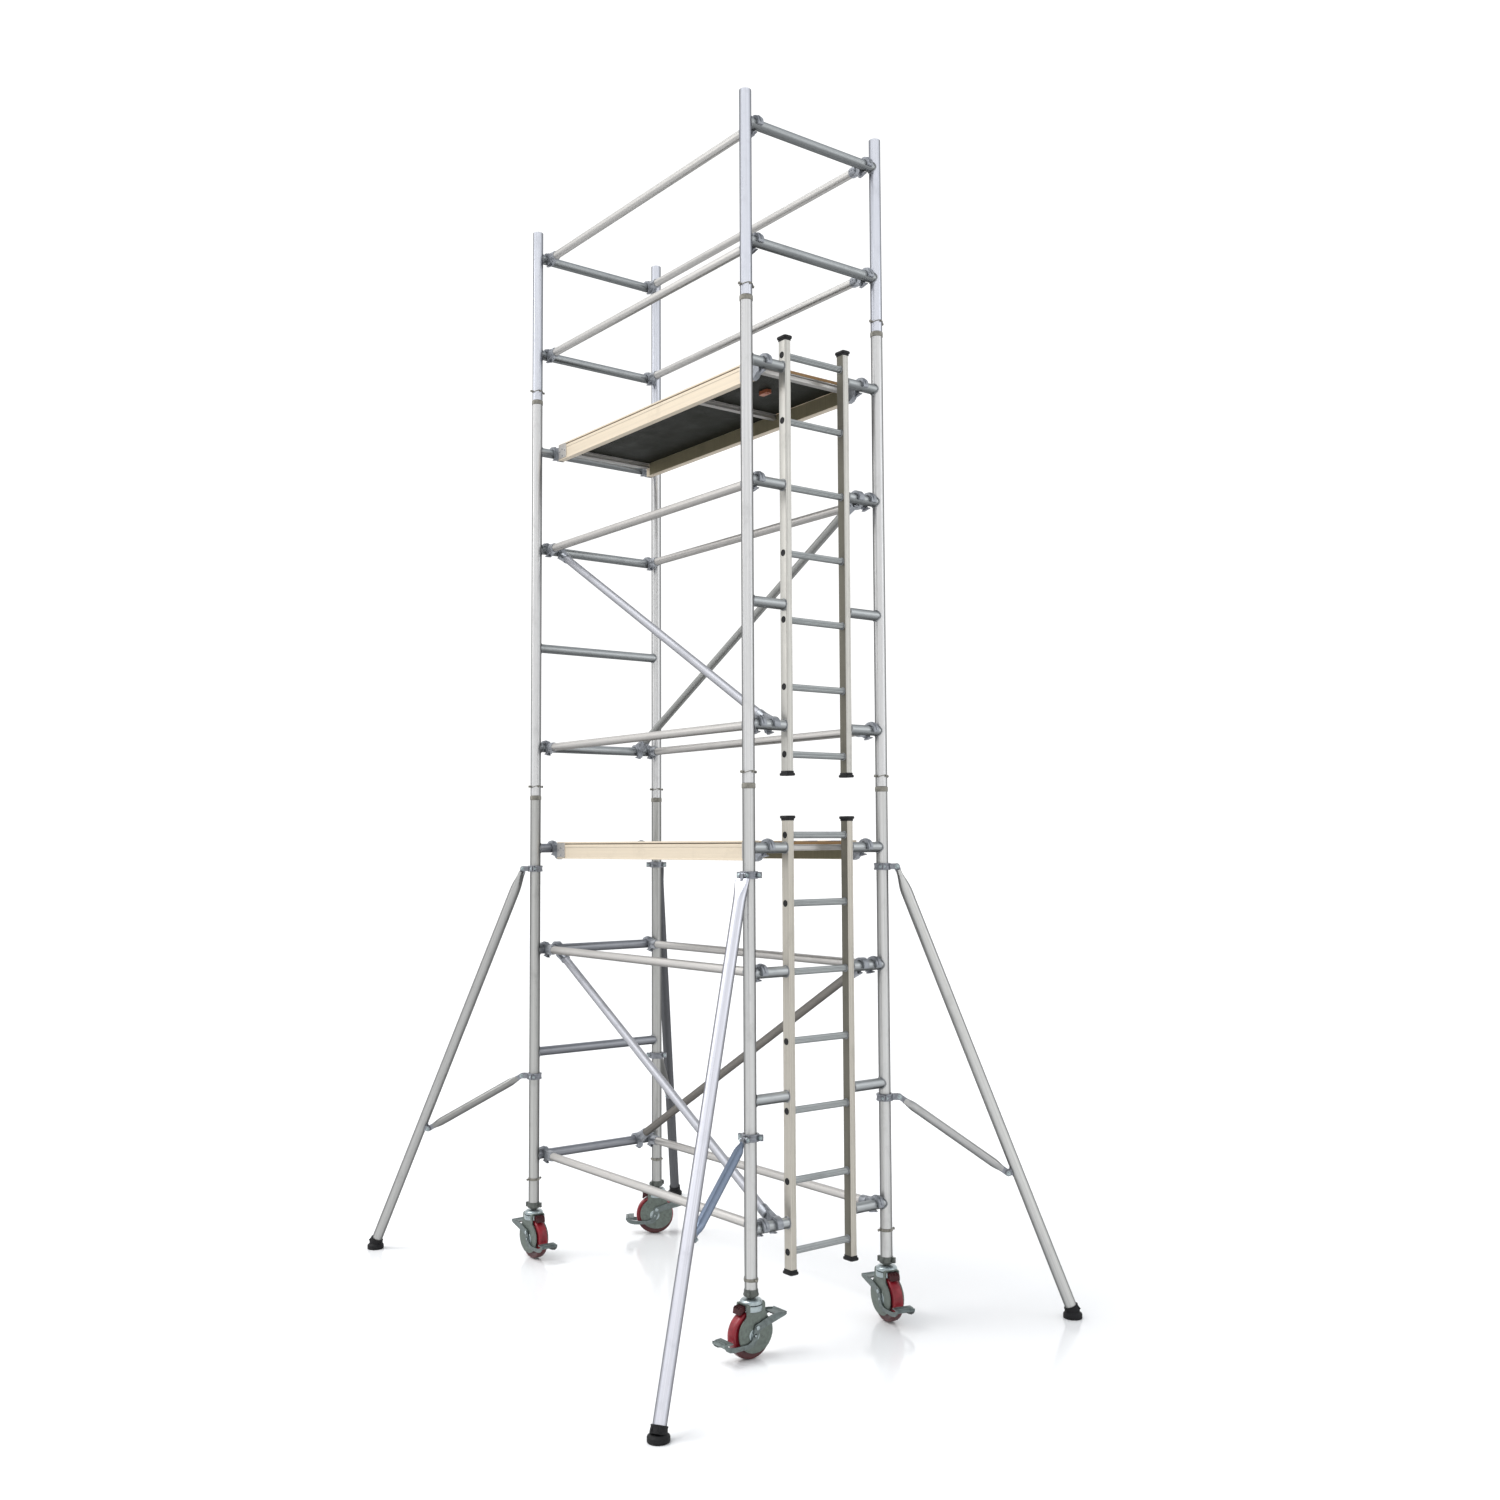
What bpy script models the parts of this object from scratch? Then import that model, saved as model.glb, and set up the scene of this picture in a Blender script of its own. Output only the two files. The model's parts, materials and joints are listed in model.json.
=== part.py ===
"""Mobile tower scaffold: three tiers of aluminium end frames on four braked castors,
tied by hooked braces, with two work platforms and four outriggers.

Metres, +Z up.  +X is the end with the ladder frames, -Y is the front.
The origin is on the floor, at the middle of the whole object's plan box.
"""
import math

import bmesh
import bpy
from mathutils import Matrix, Vector

# ---- driving dimensions -------------------------------------------------------------------
POST_PITCH_X = 1.75          # centre to centre, along the long side
POST_PITCH_Y = 0.72          # centre to centre, across an end frame
RUNG_PITCH = 0.5
FIRST_RUNG = 0.488           # lowest frame rung, above the floor
TOP_LEVEL = 10               # rungs are counted up from 1

POST_RADIUS = 0.0254
POST_BORE = 0.0224
SPIGOT_RADIUS = 0.0220
SPIGOT_BORE = 0.0180
SPIGOT_LENGTH = 0.12
SPIGOT_ROOT = 0.06           # how far a spigot reaches down inside its own post
FRAME_RUNG_RADIUS = 0.022
BRACE_RADIUS = 0.019

BASE_BOTTOM = 0.250
BASE_TOP = 2.248
MID_TOP = 4.248
GUARD_TOP = 5.118
TOUCH_GAP = 0.0003
INSET = 0.0003               # keeps the faces of united solids off one another
ROUND = 10                   # sides of a post or collar
SMALL = 8                    # sides of a thin tube, pin or hole

STILE_Y = 0.16               # ladder stile, from the middle of the frame
STILE_SIZE = (0.045, 0.030)
STILE_WALL = 0.0025
STILE_ABOVE_BOTTOM = 0.045
STILE_BELOW_TOP = 0.14
LADDER_RUNG_RADIUS = 0.014
LADDER_RUNGS = 7
LADDER_PITCH = 0.278
LADDER_FIRST = 0.122         # lowest ladder rung, above the frame's bottom

HOOK_RADIUS = 0.036
HOOK_WIDTH = 0.030
HOOK_BORE = 0.0240           # clears a frame rung
HOOK_LIP = 0.010             # how far the outer lip hangs below the rung's axis
RAIL_INSET = 0.055           # horizontal brace, in from the post's axis
DIAGONAL_INSET = 0.125       # diagonal brace, in from the post's axis

BEAM_Y = 0.265               # platform side beam, from the middle
BEAM_WIDTH = 0.030
BEAM_TOP = 0.030             # platform heights are from the rung's axis
BEAM_BOTTOM = -0.052
BEAM_END = 0.80              # from the platform's middle
CROSS_BOTTOM = -0.012
CROSS_TOP = 0.0127
CROSS_WIDTH = 0.030
MIDDLE_CROSS_X = 0.29
BOARD_BOTTOM = 0.013
BOARD_TOP = 0.026
BOARD_HALF_WIDTH = 0.2495
LID_BACK = 0.244
LID_HINGE = (0.2465, 0.0265)  # Y and Z of the trapdoor's hinge
LID_BARREL = 0.003

WHEEL_RADIUS = 0.095
WHEEL_HALF_WIDTH = 0.023
HUB_HALF_WIDTH = 0.0265
AXLE_RADIUS = 0.008
CASTOR_TRAIL = 0.010
FORK_INNER = 0.0285
FORK_OUTER = 0.0345
CHEEK_BACK = -0.046
CHEEK_RADIUS = 0.076         # of the round front and foot of a cheek
CHEEK_CENTRE = (0.004, 0.103)
HEAD_RADIUS = 0.046
HEAD_TOP = 0.228
HEAD_BOTTOM = 0.160
CROWN_UNDERSIDE = 0.214
WELL_TOP = 0.194
KINGPIN_RADIUS = 0.0125
KINGPIN_BORE = 0.0137
KINGPIN_HEAD = (0.1965, 0.2105)   # bottom and top
KINGPIN_HEAD_RADIUS = 0.019
PEDAL_PIVOT_Z = 0.124
PEDAL_PIN = 0.006
PEDAL_ARM = (0.0375, 0.0425)  # inner and outer face of a pedal's side arm

CLAMP_BORE = 0.0271
CLAMP_RADIUS = 0.036
CLAMP_HALF_HEIGHT = 0.015
PIVOT_OFFSET = 0.062         # outrigger pivots, out from the post's axis
EAR = (0.0075, 0.0135)       # inner and outer face of a clamp ear, from the middle
EAR_END_RADIUS = 0.013
PIVOT_PIN = 0.006
PIN_HOLE = 0.0069
TONGUE_HALF = 0.0065
TONGUE_END_RADIUS = 0.0135
LEG_RADIUS = 0.025
LEG_LENGTH = 2.010           # top pivot to the leg's lower end
LEG_END_Z = 0.030
LEG_START = 0.032            # the tube starts this far below its top pivot
STRUT_AT = 0.686             # where the strut meets the leg, as a share of its length
STRUT_LUG = 0.040            # strut pivot, in from the leg's axis
STRUT_RADIUS = 0.019
STRUT_LENGTH = 0.562
PAD_RADIUS = 0.040
PAD_HEIGHT = 0.022
SLEEVE_RADIUS = 0.031
SLEEVE_LENGTH = 0.034

# corner: side along X, side along Y, castor heading, outrigger heading (degrees), foot reach
CORNERS = {
    "front_right": (1, -1, 90, -59, 0.847),
    "back_right": (1, 1, 167, 54, 0.786),
    "back_left": (-1, 1, 56, 139, 0.804),
    "front_left": (-1, -1, 180, -139, 0.831),
}

# ---- where things stand -------------------------------------------------------------------


def post_in_tower(corner):
    """A post's place from the tower's own middle."""
    side_x, side_y = CORNERS[corner][:2]
    return side_x * POST_PITCH_X / 2, side_y * POST_PITCH_Y / 2


def foot_in_tower(corner):
    x, y = post_in_tower(corner)
    heading, reach = math.radians(CORNERS[corner][3]), CORNERS[corner][4]
    return x + reach * math.cos(heading), y + reach * math.sin(heading)


FEET = [foot_in_tower(corner) for corner in CORNERS]
TOWER_X = -(min(x for x, y in FEET) + max(x for x, y in FEET)) / 2
TOWER_Y = -(min(y for x, y in FEET) + max(y for x, y in FEET)) / 2
END_X = POST_PITCH_X / 2
SIDE_Y = POST_PITCH_Y / 2

# ---- solids -------------------------------------------------------------------------------


def link(name, mesh):
    item = bpy.data.objects.new(name, mesh)
    bpy.context.scene.collection.objects.link(item)
    return item


def solid(rings, closed_loop=False):
    """A closed solid through equal rings of points, capped at its ends or joined round."""
    shape = bmesh.new()
    rows = [[shape.verts.new(point) for point in ring] for ring in rings]
    pairs = list(zip(rows, rows[1:]))
    if closed_loop:
        pairs.append((rows[-1], rows[0]))
    for lower, upper in pairs:
        count = len(lower)
        for i in range(count):
            j = (i + 1) % count
            shape.faces.new((lower[i], lower[j], upper[j], upper[i]))
    if not closed_loop:
        shape.faces.new(list(reversed(rows[0])))
        shape.faces.new(rows[-1])
    bmesh.ops.recalc_face_normals(shape, faces=shape.faces)
    mesh = bpy.data.meshes.new("solid")
    shape.to_mesh(mesh)
    shape.free()
    return link("solid", mesh)


def circle(radius, sides, phase=0.0):
    turns = [phase + 2 * math.pi * i / sides for i in range(sides)]
    return [(radius * math.cos(turn), radius * math.sin(turn)) for turn in turns]


def frame_along(start, end):
    """A matrix whose Z runs from start to end and whose X stays level where it can."""
    start, end = Vector(start), Vector(end)
    z_axis = (end - start).normalized()
    guide = Vector((0, 0, 1)) if abs(z_axis.z) < 0.9 else Vector((0, 1, 0))
    x_axis = guide.cross(z_axis).normalized()
    y_axis = z_axis.cross(x_axis)
    turn = Matrix((x_axis, y_axis, z_axis)).transposed().to_4x4()
    return Matrix.Translation(start) @ turn, (end - start).length


def rod(start, end, radius, sides=ROUND, phase=0.0):
    place, length = frame_along(start, end)
    outline = circle(radius, sides, phase)
    return solid([[place @ Vector((x, y, z)) for x, y in outline] for z in (0, length)])


def box(low, high):
    corners = [(low[0], low[1]), (high[0], low[1]), (high[0], high[1]), (low[0], high[1])]
    return solid([[(x, y, z) for x, y in corners] for z in (low[2], high[2])])


def plate(outline, low_y, high_y):
    """An outline in X and Z, given thickness along Y."""
    return solid([[(x, y, z) for x, z in outline] for y in (low_y, high_y)])


def combine(name, solids, cuts=()):
    """The solids united and the cuts taken out, as one mesh; the helpers are removed."""
    body = solids[0]
    for operation, group in (("UNION", solids[1:]), ("DIFFERENCE", cuts)):
        if not group:
            continue
        helpers = bpy.data.collections.new("helpers")
        bpy.context.scene.collection.children.link(helpers)
        for item in group:
            helpers.objects.link(item)
        step = body.modifiers.new(operation, "BOOLEAN")
        step.operation = operation
        step.operand_type = "COLLECTION"
        step.collection = helpers
        step.solver = "EXACT"
    view = bpy.context.evaluated_depsgraph_get()
    mesh = bpy.data.meshes.new_from_object(body.evaluated_get(view))
    mesh.name = name
    for item in list(solids) + list(cuts):
        bpy.data.objects.remove(item)
    for helpers in [group for group in bpy.data.collections if group.name.startswith("helpers")]:
        bpy.data.collections.remove(helpers)
    clean(mesh)
    return mesh


def clean(mesh):
    shape = bmesh.new()
    shape.from_mesh(mesh)
    bmesh.ops.remove_doubles(shape, verts=shape.verts, dist=0.000002)
    bmesh.ops.dissolve_degenerate(shape, edges=shape.edges, dist=0.000002)
    shape.to_mesh(mesh)
    shape.free()


def material(name, colour, roughness, metallic):
    surface = bpy.data.materials.new(name)
    surface.use_nodes = True
    shader = surface.node_tree.nodes["Principled BSDF"]
    shader.inputs["Base Color"].default_value = (*colour, 1.0)
    shader.inputs["Roughness"].default_value = roughness
    shader.inputs["Metallic"].default_value = metallic
    return surface


def place(name, mesh, surface, parent, location=(0, 0, 0), turn=(0, 0, 0)):
    """One named sub-part: a mesh with its material, under its parent."""
    item = link(name, mesh)
    item.parent = parent
    item.location = location
    item.rotation_euler = turn
    mesh.materials.clear()
    mesh.materials.append(surface)
    mesh.shade_smooth()
    mesh.set_sharp_from_angle(angle=math.radians(35))
    return item


def pivot(name, parent, location, heading=0.0):
    item = bpy.data.objects.new(name, None)
    bpy.context.scene.collection.objects.link(item)
    item.parent = parent
    item.location = location
    item.rotation_euler = (0, 0, heading)
    return item


# ---- end frames ---------------------------------------------------------------------------


def posts(bottom, top, spigot):
    """Both posts of an end frame, with a spigot to carry the next frame if it has one."""
    solids, cuts = [], []
    for y in (-SIDE_Y, SIDE_Y):
        solids.append(rod((0, y, bottom), (0, y, top), POST_RADIUS))
        bore_top = top - SPIGOT_ROOT
        cuts.append(rod((0, y, bottom - 0.01), (0, y, bore_top), POST_BORE))
        if spigot:
            tip = top + SPIGOT_LENGTH
            solids.append(rod((0, y, top - 0.01), (0, y, tip), SPIGOT_RADIUS))
            cuts.append(rod((0, y, bore_top - 0.01), (0, y, tip + 0.01), SPIGOT_BORE))
    return solids, cuts


def kingpins():
    """The stem under each post: it closes the post's end and carries the castor's head."""
    pins = []
    for y in (-SIDE_Y, SIDE_Y):
        pins.append(rod((0, y, BASE_BOTTOM - 0.008), (0, y, BASE_BOTTOM + 0.012), POST_RADIUS))
        pins.append(rod((0, y, KINGPIN_HEAD[1] - 0.01), (0, y, BASE_BOTTOM), KINGPIN_RADIUS))
        pins.append(rod((0, y, KINGPIN_HEAD[0]), (0, y, KINGPIN_HEAD[1]), KINGPIN_HEAD_RADIUS))
    return pins


def rung_height(level):
    """Height of a frame rung, counted from 1 at the bottom of the tower."""
    return FIRST_RUNG + (level - 1) * RUNG_PITCH


def rung_levels(bottom, top):
    heights = [rung_height(level) for level in range(1, TOP_LEVEL + 1)]
    return [z for z in heights if bottom < z < top]


def plain_frame(name, bottom, top, spigot=True, on_castors=False):
    """Two posts with rungs right across."""
    solids, cuts = posts(bottom, top, spigot)
    for z in rung_levels(bottom, top):
        solids.append(rod((0, -SIDE_Y, z), (0, SIDE_Y, z), FRAME_RUNG_RADIUS, SMALL))
    if on_castors:
        shell = combine(name, solids, cuts)
        return combine(name, [link("shell", shell)] + kingpins())
    return combine(name, solids, cuts)


def ladder_frame(name, bottom, top, on_castors=False):
    """Two posts, each tied by short rungs to a ladder that stands between them."""
    solids, cuts = posts(bottom, top, True)
    half_x, half_y = STILE_SIZE[0] / 2, STILE_SIZE[1] / 2
    low, high = bottom + STILE_ABOVE_BOTTOM, top - STILE_BELOW_TOP
    for side in (-1, 1):
        y = side * STILE_Y
        solids.append(box((-half_x, y - half_y, low), (half_x, y + half_y, high)))
        inner_x, inner_y = half_x - STILE_WALL, half_y - STILE_WALL
        cuts.append(box((-inner_x, y - inner_y, low - 0.01), (inner_x, y + inner_y, high + 0.01)))
        for z in rung_levels(bottom, top):
            solids.append(rod((0, side * SIDE_Y, z), (0, y, z), FRAME_RUNG_RADIUS, SMALL))
    for step in range(LADDER_RUNGS):
        z = bottom + LADDER_FIRST + step * LADDER_PITCH
        solids.append(rod((0, -STILE_Y, z), (0, STILE_Y, z), LADDER_RUNG_RADIUS, SMALL))
    if on_castors:
        shell = combine(name, solids, cuts)
        return combine(name, [link("shell", shell)] + kingpins())
    return combine(name, solids, cuts)


def build_frames(tower, tube):
    tiers = (("base", BASE_BOTTOM, BASE_TOP), ("mid", BASE_TOP + TOUCH_GAP, MID_TOP))
    for tier, bottom, top in tiers:
        on_castors = tier == "base"
        left, right = tier + "_frame_left", tier + "_ladder_frame_right"
        place(left, plain_frame(left, bottom, top, True, on_castors), tube, tower, (-END_X, 0, 0))
        place(right, ladder_frame(right, bottom, top, on_castors), tube, tower, (END_X, 0, 0))
    guard = plain_frame("guard_frame", MID_TOP + TOUCH_GAP, GUARD_TOP, False)
    place("guard_frame_left", guard, tube, tower, (-END_X, 0, 0))
    place("guard_frame_right", guard, tube, tower, (END_X, 0, 0))


# ---- hooks and braces ---------------------------------------------------------------------


def hook(x, y, z, outward):
    """A claw over a rung along Y, open below: its solids and its cuts."""
    near, far = y - HOOK_WIDTH / 2, y + HOOK_WIDTH / 2
    ring = rod((x, near, z), (x, far, z), HOOK_RADIUS)
    bore = rod((x, near - 0.01, z), (x, far + 0.01, z), HOOK_BORE)
    mouth = sorted((x - outward * HOOK_BORE, x + outward * 2 * HOOK_RADIUS))
    low = (mouth[0], near - 0.01, z - 2 * HOOK_RADIUS)
    throat = box(low, (mouth[1], far + 0.01, z - HOOK_LIP))
    return [ring], [bore, throat]


def brace(name, rise):
    """A tube between two claws; rise is how much higher its +X end is."""
    start, end = Vector((-END_X, 0, 0)), Vector((END_X, 0, rise))
    reach = (end - start).normalized() * (HOOK_RADIUS - 0.004)
    solids = [rod(start + reach, end - reach, BRACE_RADIUS, SMALL)]
    cuts = []
    for x, z, outward in ((-END_X, 0, -1), (END_X, rise, 1)):
        ring, notch = hook(x, 0, z, outward)
        solids += ring
        cuts += notch
    return combine(name, solids, cuts)


def build_braces(tower, tube):
    rail = brace("rail", 0.0)
    levels = {"rail_1": 1, "rail_2": 3, "rail_3": 5, "rail_4": 7, "guard_rail_low": 9,
              "guard_rail_high": TOP_LEVEL}
    for side, sign in (("front", -1), ("back", 1)):
        y = sign * (SIDE_Y - RAIL_INSET)
        for label, level in levels.items():
            place(label + "_" + side, rail, tube, tower, (0, y, rung_height(level)))
    diagonal = brace("diagonal", 2 * RUNG_PITCH)
    y = SIDE_Y - DIAGONAL_INSET
    for label, level in (("low", 1), ("high", 5)):
        z = rung_height(level)
        place("diagonal_back_" + label, diagonal, tube, tower, (0, y, z))
        place("diagonal_front_" + label, diagonal, tube, tower, (0, -y, z), (0, 0, math.pi))


# ---- platforms ----------------------------------------------------------------------------


def platform_frame(name):
    """Two side beams with a claw at each end, tied by three cross members."""
    solids, cuts = [], []
    half = BEAM_WIDTH / 2
    for y in (-BEAM_Y, BEAM_Y):
        beam = box((-BEAM_END, y - half, BEAM_BOTTOM), (BEAM_END, y + half, BEAM_TOP))
        solids.append(beam)
        for outward in (-1, 1):
            ring, notch = hook(outward * END_X, y, 0, outward)
            neck = sorted((outward * (BEAM_END - 0.01), outward * (END_X - 0.02)))
            near, far = y - HOOK_WIDTH / 2, y + HOOK_WIDTH / 2
            solids += ring
            solids.append(box((neck[0], near + INSET, -0.030), (neck[1], far - INSET, 0.016)))
            cuts += notch
    reach = BEAM_Y - half + 0.005
    for x in (-BEAM_END + CROSS_WIDTH / 2, MIDDLE_CROSS_X, BEAM_END - CROSS_WIDTH / 2):
        near, far = x - CROSS_WIDTH / 2, x + CROSS_WIDTH / 2
        solids.append(box((near, -reach, CROSS_BOTTOM), (far, reach, CROSS_TOP)))
    return combine(name, solids, cuts)


def build_platforms(tower, beam, board):
    frame = platform_frame("platform_frame")
    deck = combine("deck", [box((-BEAM_END, -BOARD_HALF_WIDTH, BOARD_BOTTOM),
                                (MIDDLE_CROSS_X, BOARD_HALF_WIDTH, BOARD_TOP))])
    hinge_y, hinge_z = LID_HINGE
    low_x, high_x = MIDDLE_CROSS_X + 0.003, BEAM_END
    panel = box((low_x, -BOARD_HALF_WIDTH - hinge_y, BOARD_BOTTOM - hinge_z),
                (high_x, LID_BACK - hinge_y, BOARD_TOP - hinge_z))
    barrel = rod((low_x + 0.05, 0, 0), (high_x - 0.05, 0, 0), LID_BARREL, 6)
    lid = combine("trapdoor", [panel, barrel])
    for label, level in (("low", 4), ("high", 8)):
        z = rung_height(level)
        place("platform_frame_" + label, frame, beam, tower, (0, 0, z))
        place("deck_" + label, deck, board, tower, (0, 0, z))
        place("trapdoor_" + label, lid, board, tower, (0, hinge_y, z + hinge_z))


# ---- castors ------------------------------------------------------------------------------


def cheek_outline():
    """A cheek from the side: straight at the back, round in front and below."""
    x, z = CHEEK_CENTRE
    turns = [math.radians(angle) for angle in range(-130, 47, 16)]
    curve = [(x + CHEEK_RADIUS * math.cos(turn), z + CHEEK_RADIUS * math.sin(turn))
             for turn in turns]
    crown = HEAD_TOP - 0.01
    return [(CHEEK_BACK, crown), (CHEEK_BACK, curve[0][1] + 0.01)] + curve + [
        (0.044, 0.180), (0.044, crown)]


def castor_fork():
    """Swivel head, two cheeks, the axle between them and the pedal's pivot pins."""
    axle = (-CASTOR_TRAIL, WHEEL_RADIUS)
    cheeks = plate(cheek_outline(), -FORK_OUTER, FORK_OUTER)
    head = rod((0, 0, HEAD_BOTTOM), (0, 0, HEAD_TOP), HEAD_RADIUS, 12)
    well = box((-0.2, -FORK_INNER, -0.01), (0.2, FORK_INNER, WELL_TOP))
    recess = rod((0, 0, WELL_TOP - 0.01), (0, 0, CROWN_UNDERSIDE), KINGPIN_HEAD_RADIUS + 0.004)
    bore = rod((0, 0, CROWN_UNDERSIDE - 0.01), (0, 0, HEAD_TOP + 0.01), KINGPIN_BORE)
    shell = combine("castor_fork", [cheeks, head], [well, recess, bore])
    solids = [link("shell", shell)]
    solids.append(rod((axle[0], -FORK_INNER - 0.003, axle[1]),
                      (axle[0], FORK_INNER + 0.003, axle[1]), AXLE_RADIUS, SMALL))
    for side in (-1, 1):
        solids.append(rod((0, side * (FORK_OUTER - 0.002), PEDAL_PIVOT_Z),
                          (0, side * (PEDAL_ARM[1] + 0.002), PEDAL_PIVOT_Z), PEDAL_PIN, SMALL))
    return combine("castor_fork", solids)


def castor_wheel():
    """Turned about its own axle, which lies along Y."""
    side = [(AXLE_RADIUS + 0.001, HUB_HALF_WIDTH), (0.026, HUB_HALF_WIDTH), (0.030, 0.019),
            (0.090, WHEEL_HALF_WIDTH), (WHEEL_RADIUS, WHEEL_HALF_WIDTH - 0.007)]
    profile = side + [(radius, -y) for radius, y in reversed(side)]
    rings = []
    segments = 18
    for i in range(segments):
        turn = -math.pi / 2 + 2 * math.pi * i / segments
        rings.append([(radius * math.cos(turn), y, radius * math.sin(turn))
                      for radius, y in profile])
    return combine("castor_wheel", [solid(rings, closed_loop=True)])


def castor_brake():
    """A rocker round the fork: two side arms with a foot plate across each end."""
    arm = [(-0.155, -0.052), (-0.135, -0.068), (-0.095, -0.073), (-0.030, -0.071),
           (-0.004, -0.052), (0.014, -0.012), (0.095, 0.010), (0.140, 0.022), (0.147, 0.034),
           (0.090, 0.040), (0.005, 0.016), (-0.014, 0.006), (-0.017, -0.016), (-0.030, -0.048),
           (-0.048, -0.055), (-0.110, -0.054), (-0.155, -0.034)]
    inner, outer = PEDAL_ARM
    solids = [plate(arm, inner, outer), plate(arm, -outer, -inner)]
    solids.append(box((-0.160, -outer, -0.046), (-0.118, outer, -0.036)))
    solids.append(box((0.098, -outer, 0.024), (0.147, outer, 0.034)))
    holes = [rod((0, side * (inner - 0.01), 0), (0, side * (outer + 0.01), 0), PIN_HOLE, SMALL)
             for side in (-1, 1)]
    return combine("castor_brake", solids, holes)


def build_castors(tower, housing, tread, pedal):
    fork, wheel, brake = castor_fork(), castor_wheel(), castor_brake()
    for corner, values in CORNERS.items():
        x, y = post_in_tower(corner)
        swivel = pivot("swivel_axis_" + corner, tower, (x, y, 0), math.radians(values[2]))
        place("castor_fork_" + corner, fork, housing, swivel)
        place("castor_wheel_" + corner, wheel, tread, swivel, (-CASTOR_TRAIL, 0, WHEEL_RADIUS))
        place("castor_brake_" + corner, brake, pedal, swivel, (0, 0, PEDAL_PIVOT_Z))


# ---- outriggers ---------------------------------------------------------------------------
# Each one is built in a vertical plane: X runs out from the post's axis, Z up.


def outrigger_points(reach):
    """Top pivot, leg end, strut's foot on the leg and strut's head at the post."""
    run = reach - PIVOT_OFFSET
    top = Vector((PIVOT_OFFSET, 0, LEG_END_Z + math.sqrt(LEG_LENGTH ** 2 - run ** 2)))
    end = Vector((reach, 0, LEG_END_Z))
    along = (end - top).normalized()
    inward = Vector((along.z, 0, -along.x))
    strut_foot = top + along * STRUT_AT * LEG_LENGTH + inward * STRUT_LUG
    rise = math.sqrt(STRUT_LENGTH ** 2 - (strut_foot.x - PIVOT_OFFSET) ** 2)
    strut_head = Vector((PIVOT_OFFSET, 0, strut_foot.z + rise))
    return top, end, strut_foot, strut_head


def ears(centre_x, centre_z, root_x):
    """Two ears that reach from root_x to a pin across them."""
    parts = []
    for side in (-1, 1):
        inner, outer = side * EAR[0], side * EAR[1]
        low, high = sorted((inner, outer))
        near, far = sorted((root_x, centre_x))
        half_height = 0.9 * EAR_END_RADIUS
        parts.append(box((near, low + INSET, centre_z - half_height),
                         (far, high - INSET, centre_z + half_height)))
        parts.append(rod((centre_x, inner, centre_z), (centre_x, outer, centre_z),
                         EAR_END_RADIUS, SMALL))
    parts.append(rod((centre_x, -EAR[0] - 0.002, centre_z), (centre_x, EAR[0] + 0.002, centre_z),
                     PIVOT_PIN, SMALL))
    return parts


def post_clamp():
    """A collar that turns on the post, with ears and a pin for the leg or the strut."""
    ring = rod((0, 0, -CLAMP_HALF_HEIGHT), (0, 0, CLAMP_HALF_HEIGHT), CLAMP_RADIUS)
    bore = rod((0, 0, -0.1), (0, 0, 0.1), CLAMP_BORE)
    collar = combine("post_clamp", [ring], [bore])
    solids = [link("collar", collar)] + ears(PIVOT_OFFSET, 0, CLAMP_RADIUS - 0.005)
    return combine("post_clamp", solids)


def outrigger_leg():
    """The leg from its pivot at the origin down along -Z, with the strut's lug on -X."""
    tube = rod((0, 0, -LEG_START), (0, 0, -LEG_LENGTH), LEG_RADIUS)
    inner = TONGUE_HALF - INSET
    tongue = box((-0.013, -inner, -LEG_START - 0.02), (0.013, inner, 0))
    tongue_end = rod((0, -TONGUE_HALF, 0), (0, TONGUE_HALF, 0), 0.014, SMALL)
    hole = rod((0, -0.05, 0), (0, 0.05, 0), PIN_HOLE, SMALL)
    body = combine("outrigger_leg", [tube, tongue, tongue_end], [hole])
    lug = ears(-STRUT_LUG, -STRUT_AT * LEG_LENGTH, -LEG_RADIUS + 0.006)
    return combine("outrigger_leg", [link("leg", body)] + lug)


def outrigger_strut():
    """A tube from the origin along +Z: a drilled tongue turns on the leg's pin, and at the
    far end an open hook drops over the lower clamp's pin."""
    tube = rod((0, 0, 0.030), (0, 0, STRUT_LENGTH - 0.030), STRUT_RADIUS, SMALL)
    half = TONGUE_HALF - INSET
    solids = [tube]
    for z, inner in ((0, 0.045), (STRUT_LENGTH, STRUT_LENGTH - 0.045)):
        low, high = sorted((z, inner))
        solids.append(box((-0.0105, -half, low), (0.0125, half, high)))
        solids.append(rod((0, -TONGUE_HALF, z), (0, TONGUE_HALF, z), TONGUE_END_RADIUS, SMALL))
    hole = rod((0, -0.05, 0), (0, 0.05, 0), PIN_HOLE, SMALL)
    seat = rod((0, -0.05, STRUT_LENGTH), (0, 0.05, STRUT_LENGTH), PIN_HOLE, SMALL)
    mouth = box((-0.05, -0.05, STRUT_LENGTH - 0.9 * PIN_HOLE),
                (0.9 * PIN_HOLE, 0.05, STRUT_LENGTH + 0.05))
    return combine("outrigger_strut", solids, [hole, seat, mouth])


def outrigger_foot(reach, heading):
    """A rubber shoe: a flat pad with a sleeve along the leg's end."""
    top, end, _, _ = outrigger_points(reach)
    upward = (top - end).normalized()
    pad = rod((reach, 0, 0), (reach, 0, PAD_HEIGHT), PAD_RADIUS, 16, -heading - math.pi / 2)
    low = end - upward * 0.012
    sleeve = rod(low, low + upward * SLEEVE_LENGTH, SLEEVE_RADIUS)
    pocket = rod(end - upward * TOUCH_GAP, end + upward * 0.2, LEG_RADIUS + 0.0012)
    return combine("outrigger_foot", [pad, sleeve], [pocket])


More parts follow.
